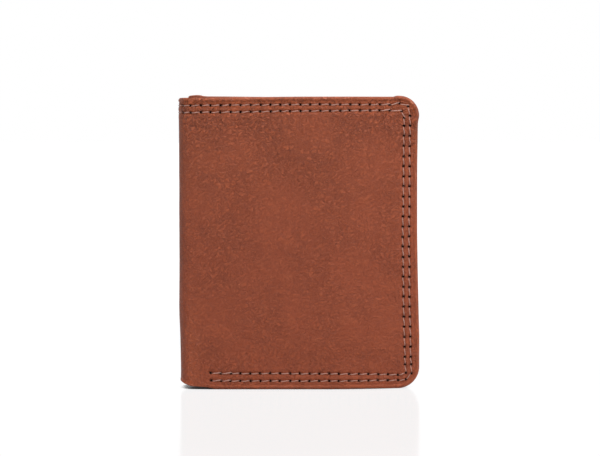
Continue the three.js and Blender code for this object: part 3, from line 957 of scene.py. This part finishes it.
def wrap_lines(length, step):
    """The same for a sheet that starts in the middle of the spine: fine round the bend."""
    lines = list(np.arange(0, BEND_END + 3, 0.45))
    lines += list(np.arange(BEND_END + 3, length - NEAR_EDGE[-1], step))
    lines += [length - x for x in NEAR_EDGE]
    return np.unique(np.round(lines, 4)) / length


def around(places, start, offsets):
    """Extra grid lines near places, measured from `start`."""
    return [p - start + k for p in places for k in offsets]


def panel_lines(low_z, high_z, foot_row=False):
    """Grid lines of a pocket panel, close together near the stitching."""
    start = PANEL[0]
    extra_u = around([u_at(x) for x in (42.9, 43.3, 45.6, 46.1, -44.1)], start,
                     (-0.75, -0.5, -0.3, -0.12, 0.12, 0.3, 0.5, 0.75))
    extra_z = around(FREE_HOLE_ZS + [p[1] for p in END_HOLES], low_z, NEAR_HOLE)
    if foot_row:
        extra_u += around(FOOT_HOLE_US, start, NEAR_HOLE)
        extra_z += around((3.5, 6.0, 6.6), low_z, NEAR_HOLE)
    return (edge_lines(PANEL[1] - start, 1.5, extra_u),
            edge_lines(high_z - low_z, 1.3, extra_z))


def outline_distance(u, z, outline):
    """Distance from each grid point to a closed outline."""
    corners = np.array(outline, float)
    best = np.full(u.shape, 1e9)
    for (u0, z0), (u1, z1) in zip(corners, np.roll(corners, -1, 0)):
        du, dz = u1 - u0, z1 - z0
        squared = du * du + dz * dz
        if squared < 1e-12:
            continue
        t = np.clip(((u - u0) * du + (z - z0) * dz) / squared, 0, 1)
        best = np.minimum(best, np.hypot(u - u0 - t * du, z - z0 - t * dz))
    return best


def needle_dots(u, z, holes):
    """(pit, seam) marks round needle holes."""
    away = np.full(u.shape, 9.0)
    for hole_u, hole_z in holes:
        near = (np.abs(u - hole_u) < 1.2) & (np.abs(z - hole_z) < 1.2)
        away[near] = np.minimum(away[near], np.hypot(u[near] - hole_u, z[near] - hole_z))
    return np.exp(-((away / 0.42) ** 4)), gauss(away, 1.0)


def build_layer(name, side, u, z, low, high, inset, marks, material, shift,
                cut=False, ring=False):
    """A closed layer between the depths low and high, rounded at its edges. A ring closes on
    itself sideways; cut leaves the first column square, in the middle of the spine."""
    radius, middle = (high - low) / 2, (low + high) / 2
    share = np.clip(inset / np.maximum(radius, 1e-6), 0, 1)
    half = radius * np.sqrt(np.clip(1 - (1 - share) ** 2, 0, 1))
    edge = np.zeros(u.shape, bool)
    edge[[0, -1]] = True
    if not ring:
        edge[:, -1] = True
        if not cut:
            edge[:, 0] = True
    low_ids = np.arange(u.size).reshape(u.shape)
    high_ids = low_ids.copy()
    high_ids[~edge] = u.size + np.arange((~edge).sum())

    def both(grid):
        return np.r_[grid.ravel(), grid[~edge]]

    def closed(ids):
        return np.concatenate([ids, ids[:, :1]], 1) if ring else ids

    depth = np.r_[np.where(edge, middle, middle - half).ravel(), (middle + half)[~edge]]
    verts = place(side, both(u), both(z), depth)
    faces = grid_faces(closed(low_ids)) + grid_faces(closed(high_ids), flip=True)
    cap = None
    if cut:
        cap = list(low_ids[:, 0]) + list(high_ids[-2:0:-1, 0])
        faces = orient(verts, faces + [tuple(cap)])
    pit, seam = marks
    # the layer's colour lightens towards its rounded edges
    attributes = surface_attributes(side, both(u), both(z), depth, both(pit), both(seam),
                                    both(0.7 * gauss(inset, 0.8)), shift)
    return build(name, verts, faces, material, attributes, cap)


def sheet(name, side, outline, lines, layer, material, cut=False, holes=None, raised=None):
    """A thin sheet. outline is (bottom, right, top, left), lines the shares of its grid lines,
    layer(u, z) gives (depth of its inner face, thickness), and raised(u, z, inset) adds to
    that face."""
    bottom, right, top, left = outline
    u, z = coons(outline, *lines)
    edge = list(bottom) + list(right)[1:] + list(reversed(top))[1:]
    if cut:                      # the side at the spine isn't an edge: it is moved away
        edge = [(p[0] - (40 if abs(p[0]) < 1e-6 else 0), p[1]) for p in edge]
    else:
        edge += list(reversed(left))[1:-1]
    inset = outline_distance(u, z, edge)
    high, thickness = layer(u, z)
    low = high - thickness
    if raised is not None:
        high = high + raised(u, z, inset)
    marks = np.zeros_like(u), np.zeros_like(u)
    if holes is not None:
        marks = needle_dots(u, z, holes)
        high = high - 0.22 * marks[0] - 0.10 * marks[1]
        low = np.minimum(low, high - 0.12)
    shift = 40 + 31 * (sum(map(ord, name)) % 7)
    return build_layer(name, side, u, z, low, high, inset, marks, material,
                       (0 if cut else shift, shift), cut=cut)


def arc_points(u, z, radius, start, end, count):
    t = np.radians(np.linspace(start, end, count))
    return list(zip(u + radius * np.cos(t), z + radius * np.sin(t)))


def rounded(u_span, z_span, radii, lift=None, bulge=None):
    """Outline of a rounded panel as four sides that meet in the middle of each corner. radii
    are bottom left, bottom right, top right, top left. lift(u) raises the bottom side and
    bulge(u) the top."""
    (u0, u1), (z0, z1) = u_span, z_span
    bl, br, tr, tl = radii

    def corner(u, z, radius, start):
        points = arc_points(u, z, radius, start, start + 90, 9)
        return points[:5], points[4:]

    def join(first, second):
        (pu, pz), (qu, qz) = first[-1], second[0]
        line = [(pu + (qu - pu) * k / 40, pz + (qz - pz) * k / 40) for k in range(1, 40)]
        return first + line + second

    left_end, bottom_start = corner(u0 + bl, z0 + bl, bl, 180)
    bottom_end, right_start = corner(u1 - br, z0 + br, br, 270)
    right_end, top_start = corner(u1 - tr, z1 - tr, tr, 0)
    top_end, left_start = corner(u0 + tl, z1 - tl, tl, 90)
    bottom = join(bottom_start, bottom_end)
    right = join(right_start, right_end)
    top = join(top_start, top_end)
    left = join(left_start, left_end)
    if lift is not None:
        bottom = [(u, z + lift(u)) for u, z in bottom]
        left = left[:-1] + [bottom[0]]
        right = [bottom[-1]] + right[1:]
    if bulge is not None:
        top = [(u, z + bulge(u)) for u, z in top]
        right = right[:-1] + [top[0]]
        left = [top[-1]] + left[1:]
    return bottom, right, top[::-1], left[::-1]


def wrap_outline(end, low_z, high_z, foot_radius, top_radius):
    """Outline from the middle of the spine to u = end, with low_z(u) and high_z(u) as its long
    sides."""
    bottom = [(u, float(low_z(u))) for u in np.linspace(0, end - foot_radius, 70)]
    foot_arc = arc_points(end - foot_radius, bottom[-1][1] + foot_radius, foot_radius,
                          270, 360, 15)
    top = [(u, float(high_z(u))) for u in np.linspace(0, end - top_radius, 90)]
    top_arc = arc_points(end - top_radius, top[-1][1] - top_radius, top_radius, 0, 90, 15)
    rise = np.linspace(foot_arc[-1][1], top_arc[0][1], 40)[1:-1]
    bottom += foot_arc[1:8]
    right = foot_arc[7:] + [(end, z) for z in rise] + top_arc[:8]
    top += top_arc[7:-1][::-1]
    left = [(0.0, z) for z in np.linspace(bottom[0][1], top[0][1], 40)]
    return bottom, right, top, left


# ---------------------------------------------------------------- pockets
LOWEST_RADII = (0.8, 7, 1.0, 1.0)       # corners of the lowest panel of each half


def foot_lift(u):
    """The lowest panels follow the covers' lift beside the spine."""
    return 0.8 * (1 - smooth((np.asarray(u, float) - 11) / 12))


def pocket_relief(mouth):
    """Rolled edge and tooled line below a pocket's mouth, and the soft sag of its face."""
    def raised(u, z, inset):
        below = mouth - z
        return (0.03 * gauss(below - 0.9, 0.6) - 0.09 * gauss(below - 2.3, 0.28)
                + 0.05 * MID_WAVES(u * 1.3 + mouth * 7, z * 1.3) * smooth(inset / 4))
    return raised


def make_pocket(side, i):
    """Leather of pocket i; the lowest has its own corners and the bottom rows."""
    half = HALF_NAMES[side]
    node = f"card_pocket_{half}_{i + 1}"
    low_z, high_z = extent(node)[2:]
    lowest = i == 3
    swell = 0.14 if lowest else 0.12
    holes = seam_holes(side)
    if not lowest:
        holes = [h for h in holes if low_z - 1 < h[1] < high_z + 1]

    def bulge(u):
        return swell * np.sin((u - 12) / 94 * PI) - swell / 2

    def layer(u, z):
        hem = smooth((8 - (high_z - z)) / 1.2)     # the mouth is folded over
        return tier_depth(i, u, z), 0.5 + 0.35 * slack(u, z) * hem

    outline = rounded(PANEL, (low_z, high_z), LOWEST_RADII if lowest else (0.6, 0.6, 1.0, 1.0),
                      lift=foot_lift if lowest else None, bulge=bulge)
    ob = sheet(f"pocket_leather_{half}_{i + 1}", side, outline,
               panel_lines(low_z, high_z, foot_row=lowest), layer, POCKET_LEATHER,
               holes=holes, raised=pocket_relief(high_z))
    ride_half(ob, side, "pocket_leather", node)


def make_tail(side, i):
    """Cloth hanging behind pocket i."""
    half = HALF_NAMES[side]
    node = f"pocket_tail_{half}_{i + 1}"
    low_x, high_x, low_z, high_z = extent(node)
    high_z += 1.6                                  # it reaches up behind the leather

    def layer(u, z):
        ripple = 0.04 * MID_WAVES(u, z + 9 * i) * slack(u, z)
        return tail_depth(i, u, z) + ripple, 0.18

    outline = rounded((u_at(low_x), u_at(high_x)), (low_z, high_z),
                      (1, 6 if low_z < 10 else 1, 0.5, 0.5))
    lines = edge_lines(high_x - low_x, 2.0), edge_lines(high_z - low_z, 2.0)
    ob = sheet(f"pocket_tail_cloth_{half}_{i + 1}", side, outline, lines, layer, TAIL_CLOTH)
    ride_half(ob, side, "tail_cloth", node)


def make_window_frame():
    """The identity pocket's leather frame, as rings between its outline and its opening."""
    low_z, high_z = extent("id_window_frame")[2:]
    opening = rounded((u_at(-36), u_at(35)), (12, 48), (3, 3, 3, 3))
    near_hole, near_edge = (-0.4, -0.2, 0, 0.2, 0.4), (0, 0.4, 0.9, 1.5)
    lines_u = edge_lines(PANEL[1] - PANEL[0], 1.0, around(FOOT_HOLE_US, PANEL[0], near_hole),
                         near_edge)
    lines_z = edge_lines(high_z - low_z, 1.0, around(FREE_HOLE_ZS, low_z, near_hole), near_edge)
    loops = []
    for outline in (rounded(PANEL, (low_z, high_z), LOWEST_RADII, lift=foot_lift), opening):
        bottom, right, top, left = outline
        loops.append(np.concatenate([
            along(bottom, lines_u)[:-1], along(right, lines_z)[:-1],
            along(top, lines_u)[::-1][:-1], along(left, lines_z)[::-1][:-1]]))
    shares = np.unique(np.r_[0, 0.002, 0.006, 0.014, 0.03, 0.05, np.linspace(0.08, 0.92, 44),
                             0.95, 0.97, 0.986, 0.994, 0.998, 1])[:, None, None]
    grid = loops[0][None] * (1 - shares) + loops[1][None] * shares
    u, z = grid[..., 0], grid[..., 1]
    from_outside, from_opening = [outline_distance(u, z, loop) for loop in loops]
    marks = needle_dots(u, z, [h for h in seam_holes(BACK) if h[1] < high_z + 1])
    face = tier_depth(3, u, z)
    # a tooled line runs round the opening
    high = (face + pocket_relief(high_z)(u, z, from_outside)
            - 0.07 * gauss(from_opening - 2.0, 0.3) - 0.2 * marks[0] - 0.08 * marks[1])
    ob = build_layer("id_window_leather", BACK, u, z, face - 0.5, high,
                     np.minimum(from_outside, from_opening), marks, POCKET_LEATHER,
                     shift=(77, 31), ring=True)
    ride_half(ob, BACK, "pocket_leather", "id_window_frame")


def make_window_film():
    low_x, high_x, low_z, high_z = extent("id_window_film")
    outline = rounded((u_at(low_x), u_at(high_x)), (low_z, high_z), (2, 2, 2, 2))
    ob = sheet("id_window_clear_film", BACK, outline,
               (edge_lines(high_x - low_x, 2.5), edge_lines(high_z - low_z, 2.5)),
               lambda u, z: (tier_depth(3, u, z) - 0.54 + 0.05 * LONG_WAVES(u, z), 0.12), FILM)
    ride_half(ob, BACK, "clear_film", "id_window_film")


# ---------------------------------------------------------------- layers round the spine
def make_lining(side):
    """Cloth glued to the cover, climbing over its turned edge at the top and the bottom."""
    half = HALF_NAMES[side]
    _, high_x, low_z, high_z = extent("lining_front")
    end, over = u_at(high_x), 2

    def layer(u, z):
        from_middle = np.abs(z - (low_z + high_z) / 2)
        climb = smooth((from_middle - (high_z - low_z) / 2 + 1.2) / 1.2)
        return 1.50 + 0.66 * climb, 0.20

    outline = wrap_outline(end, lambda u: low_z - over, lambda u: high_z + over, 1.5, 1.5)
    lines = wrap_lines(end, 3.0), edge_lines(high_z - low_z + 2 * over, 4.0)
    ob = sheet(f"lining_cloth_{half}", side, outline, lines, layer, LINING, cut=True)
    bend_round(ob, side, LINING_BEND, "lining_cloth", f"lining_{half}", "lining_spine")


def make_divider(side):
    half = HALF_NAMES[side]
    end = u_at(extent("note_divider_front")[1])

    def layer(u, z):
        pressed = 0.10 * (1 - slack(u, z)) * smooth((u - BEND_END) / 6)
        return 2.32 - pressed + 0.05 * LONG_WAVES(wave_u(side, u) + 60, z), 0.20

    outline = wrap_outline(end, lambda u: 1.2 + foot_z(u) * 0.5,
                           lambda u: DIVIDER_TOP - 0.5 + 0.5 * smooth((u - 2) / 30), 7.5, 2)
    lines = wrap_lines(end, 2.0), edge_lines(DIVIDER_TOP - 2, 2.5)
    ob = sheet(f"divider_cloth_{half}", side, outline, lines, layer, LINING, cut=True)
    bend_round(ob, side, DIVIDER_BEND, "lining_cloth",
               f"note_divider_{half}", "note_divider_spine")


# (u, z) along the inner wall's top edge
wall_top = smooth_table([
    (0, WALL_TOP - 1.6), (10.2, WALL_TOP - 1.5), (11.2, WALL_TOP - 0.35),
    (12.6, WALL_TOP - 0.2), (14.2, WALL_TOP), (15.6, WALL_TOP - 0.05), (16.6, WALL_TOP - 0.4),
    (17.6, WALL_TOP - 0.6), (26, WALL_TOP - 0.65), (45, 121.15), (57, 120.95), (94, 120.6),
    (120, 120.6)], 0.35)


def make_inner_wall(side):
    """The leather wall that carries the pockets, thicker along its top edge."""
    half = HALF_NAMES[side]
    end = u_at(extent("inner_wall_front")[1])

    def layer(u, z):
        extra = 0.10 * smooth((7 - (wall_top(u) - z)) / 1.0)
        ripple = 0.05 * LONG_WAVES(wave_u(side, u) + 20, z) * slack(u, z)
        return wall_depth(u, z) + ripple + extra, 0.5 + extra

    def raised(u, z, inset):
        below = wall_top(u) - z
        return 0.03 * gauss(below - 1.0, 0.6) - 0.08 * gauss(below - 2.4, 0.3)

    outline = wrap_outline(end, lambda u: 1.0 + foot_z(u) * 0.25, wall_top, 7, 7)
    lines = wrap_lines(end, 1.6), edge_lines(120, 1.8, around(FREE_HOLE_ZS[:5], 0, NEAR_HOLE))
    ob = sheet(f"inner_wall_leather_{half}", side, outline, lines, layer, INNER_LEATHER,
               cut=True, holes=[h for h in seam_holes(side) if h[1] > 96], raised=raised)
    bend_round(ob, side, WALL_BEND, "inner_leather", f"inner_wall_{half}", "inner_wall_spine")


# ---------------------------------------------------------------- stitches
# outward: the sign of depth that points out of the leather. rise: how far a stitch stands
# above it. dip: how far its ends sink into the holes.
OUTSIDE = dict(outward=-1, radius=0.19, rise=0.11, dip=0.55)
INSIDE = dict(outward=1, radius=0.2, rise=0.1, dip=0.3)
STITCH_STEPS, STITCH_SIDES = 12, 9
STITCH_GAP = 0.30               # from a hole's centre to the stitch's end


def pocket_face(u, z):
    """Depth of the innermost leather: the wall, or the pocket that covers it."""
    depth = wall_depth(u, z)
    for i, mouth in enumerate(MOUTHS):
        depth = depth + (tier_depth(i, u, z) - depth) * smooth((mouth + 0.15 - z) / 0.5)
    return depth - 0.04


def stitches(name, pairs, face, side, seed, outward, radius, rise, dip):
    """One tube for each stitch, from hole to hole, sinking into both; face(u, z) is the depth
    of the leather it lies on."""
    rng = np.random.default_rng(seed)
    verts, faces, twists, places = [], [], [], []
    t = np.linspace(0, 1, STITCH_STEPS + 1)
    angle = np.linspace(0, 2 * PI, STITCH_SIDES, endpoint=False)
    count = (STITCH_STEPS + 1) * STITCH_SIDES
    run = 0.0
    for index, (start, end) in enumerate(pairs):
        start, step = np.array(start, float), np.array(end, float) - np.array(start, float)
        length = np.hypot(*step)
        normal = np.array([-step[1], step[0]]) / length
        slant = rng.uniform(0.06, 0.15)
        bow = rng.uniform(-0.06, 0.06)
        sideways = -slant * np.cos(PI * t) + bow * np.sin(PI * t) - 0.05 * np.sin(2 * PI * t)
        share = STITCH_GAP / length + t * (1 - 2 * STITCH_GAP / length)
        u = start[0] + step[0] * share + normal[0] * sideways
        z = start[1] + step[1] * share + normal[1] * sideways
        at_end = gauss(np.minimum(t, 1 - t) * (length - 2 * STITCH_GAP), 0.36)
        lift = rise * (1 + 0.25 * rng.uniform(-1, 1))
        depth = face(u, z) + outward * (lift * np.sin(PI * t) ** 0.5 - dip * at_end)
        thick = (radius * (1 - 0.25 * at_end))[:, None]
        across = np.cos(angle)[None] * thick
        tube_u = (u[:, None] + normal[0] * across).ravel()
        tube_z = (z[:, None] + normal[1] * across).ravel()
        tube_depth = (depth[:, None] + np.sin(angle)[None] * thick).ravel()
        verts.append(place(side, tube_u, tube_z, tube_depth))
        twists.append(np.stack([np.repeat(run + t * length, STITCH_SIDES),
                                np.tile(angle, STITCH_STEPS + 1), np.zeros(count)], -1))
        places.append(np.stack([tube_u, tube_z, np.full(count, 5.0 * side)], -1))
        ids = np.arange(count).reshape(-1, STITCH_SIDES) + index * count
        faces += grid_faces(np.concatenate([ids, ids[:, :1]], 1))
        faces += [tuple(ids[0][::-1]), tuple(ids[-1])]
        run += length
    attributes = {"st": np.concatenate(twists), "co": np.concatenate(places)}
    return build(name, np.concatenate(verts), faces, THREAD, attributes)


def joined(points):
    """Pairs of neighbouring holes."""
    return list(zip(points[:-1], points[1:]))


def back_tack(points, rng):
    """Stitches sewn over again, a little to the side."""
    pairs = []
    for start, end in joined(points):
        along_row = (end - start) / np.hypot(*(end - start))
        beside = np.array([-along_row[1], along_row[0]]) * rng.uniform(0.2, 0.34)
        ahead = along_row * rng.uniform(0.9, 1.6)
        pairs.append((start + beside + ahead, end + beside + ahead * 0.6))
    return pairs


def make_threads(side):
    half = HALF_NAMES[side]
    rng = np.random.default_rng(40 + side)

    def cover_face(u, z):
        return -relief(side, u, z)[0]

    for index, row in enumerate(("outer", "inner")):
        holes = HOLES[index, side]
        hem, edge = holes[:LONG_STITCHES + 1], holes[LONG_STITCHES:]
        ob = stitches(f"stitch_hem_{row}_{half}", joined(hem) + back_tack(hem[-3:], rng),
                      cover_face, side, seed=5 + index, **OUTSIDE)
        bend_round(ob, side, COVER_BEND, "thread",
                   f"thread_hem_{row}_{half}", f"thread_hem_{row}_spine")
        pairs = joined(edge) + back_tack(edge[::-1][:3], rng) + back_tack(edge[:2], rng)
        ob = stitches(f"stitch_edge_{row}_{half}", pairs, cover_face, side, seed=15 + index,
                      **OUTSIDE)
        ride_half(ob, side, "thread", f"thread_edge_{row}_{half}")
        ob = stitches(f"stitch_under_{row}_{half}", joined(edge), pocket_face, side,
                      seed=25 + index, **INSIDE)
        ride_half(ob, side, "thread", f"thread_under_{row}_{half}")
    ob = stitches(f"stitch_pocket_ends_{half}", joined(END_HOLES), pocket_face, side, seed=35,
                  **INSIDE)
    ride_half(ob, side, "thread", f"thread_pocket_ends_{half}")


for side in (FRONT, BACK):
    make_cover(side)
    make_lining(side)
    make_divider(side)
    make_inner_wall(side)
    for i in range(3):
        make_pocket(side, i)
        make_tail(side, i)
    if side == FRONT:
        make_pocket(side, 3)
    make_threads(side)
make_window_frame()
make_window_film()


# ---------------------------------------------------------------- stage, light and camera
def stage_material():
    """White paper with a faint shine: the camera sees plain white with a soft contact shade,
    and other rays meet a matt grey."""
    material, n = new_material("studio_floor")

    def openness(distance):
        return n.add("AmbientOcclusion", {"Distance": distance}, samples=12).outputs["AO"]

    def from_origin():
        return n.add("TexCoord").outputs["Object"]

    white = 0.885
    grain = n.noise(from_origin(), scale=3.0)
    near = n.remap(openness(0.008), span=(0.22, 0.48), to=(0.012, white))
    # the rounded free corner stands a little clear of the floor, so its contact shade is faint
    x = n.axes(n.add("NewGeometry").outputs["Position"])[0]
    faint = n.remap(x, span=(0.026, 0.040), to=(0.0, 0.9))
    near = n.plus(n.times(near, n.minus(1.0, faint)), n.times(faint, white))
    under = n.remap(openness(0.06), span=(0.26, 0.44), to=(0.02, 1.0))
    under = n.plus(n.times(under, n.minus(1.0, faint)), faint)
    shade = n.times(near, under)
    # brighter far from the wallet
    length = n.add("VectorMath", {0: from_origin()}, operation="LENGTH").outputs["Value"]
    far = n.ease(length, span=(0.14, 0.42), to=(0.0, 0.15))
    strength = n.plus(n.plus(shade, far), n.times(grain, 0.004))
    paper = n.add("Emission", {"Color": (1.0, 0.995, 0.997), "Strength": strength})
    shine = n.add("BsdfGlossy", {"Color": (0.13, 0.13, 0.13), "Roughness": 0.13})
    seen = n.add("AddShader", {0: paper.outputs[0], 1: shine.outputs[0]})
    matt = n.add("BsdfDiffuse", {"Color": (0.6, 0.6, 0.6)})
    by_camera = n.add("LightPath").outputs["Is Camera Ray"]
    n.finish(n.add("MixShader", {0: by_camera, 1: matt.outputs[0], 2: seen.outputs[0]}))
    return material


def make_floor():
    reach = 4.0
    mesh = bpy.data.meshes.new("studio_floor")
    corners = [(-reach, -reach, 0), (reach, -reach, 0), (reach, reach, 0), (-reach, reach, 0)]
    mesh.from_pydata(corners, [], [(0, 1, 2, 3)])
    mesh.materials.append(stage_material())
    floor = bpy.data.objects.new("studio_floor", mesh)
    floor.location.z = -0.00002
    bpy.context.scene.collection.objects.link(floor)


def make_world():
    """The studio lights white from behind the wallet and dimmer from in front of it; the
    camera sees plain white."""
    world = bpy.data.worlds.new("studio")
    bpy.context.scene.world = world
    world.use_nodes = True
    n = Nodes(world.node_tree, "OutputWorld")
    seen = n.add("Background", {"Color": (1, 1, 1), "Strength": 1.0})
    y = n.axes(n.add("TexCoord").outputs["Generated"])[1]
    strength = n.ease(y, span=(-0.25, 0.35), to=(0.22, 1.0))
    light = n.add("Background", {"Color": (1.0, 0.985, 0.975), "Strength": strength})
    by_camera = n.add("LightPath").outputs["Is Camera Ray"]
    n.finish(n.add("MixShader", {0: by_camera, 1: light.outputs[0], 2: seen.outputs[0]}))


def aim_at(ob, target):
    ob.rotation_mode = "QUATERNION"
    ob.rotation_quaternion = (Vector(target) - Vector(ob.location)).to_track_quat("-Z", "Y")


def area(name, location, target, size, power, color=(1, 1, 1)):
    light = bpy.data.lights.new(name, "AREA")
    light.shape = "RECTANGLE"
    light.size, light.size_y = size
    light.energy = power
    light.color = color
    ob = bpy.data.objects.new(name, light)
    ob.location = location
    aim_at(ob, target)
    bpy.context.scene.collection.objects.link(ob)


def make_camera():
    distance, pitch = 0.9, math.radians(3.7)
    data = bpy.data.cameras.new("camera")
    data.sensor_width = 36
    data.lens = 130.68
    data.clip_start, data.clip_end = 0.01, 50
    camera = bpy.data.objects.new("camera", data)
    bpy.context.scene.collection.objects.link(camera)
    target = Vector((0.30992 * MM, CAD_BOX[0].y, 67.14876 * MM))
    camera.location = target + Vector((0, -math.cos(pitch), math.sin(pitch))) * distance
    aim_at(camera, target)
    bpy.context.scene.camera = camera


make_floor()
make_world()
area("key_soft", location=(0.38, -0.55, 1.05), target=(0, 0, 0.06), size=(0.7, 0.6), power=13.4)
area("top_soft", location=(0.0, -0.12, 1.1), target=(0, 0, 0.1), size=(0.5, 0.35), power=6.4)
area("front_fill", location=(0.45, -1.45, 0.4), target=(0, 0, 0.06), size=(1.0, 0.8), power=2.3,
     color=(1.0, 0.99, 0.98))
area("left_fill", location=(-0.75, -0.55, 0.12), target=(0, 0, 0.02), size=(0.3, 0.3), power=0.2)
make_camera()
bpy.context.scene.view_settings.view_transform = "Standard"
bpy.context.scene.view_settings.look = "None"
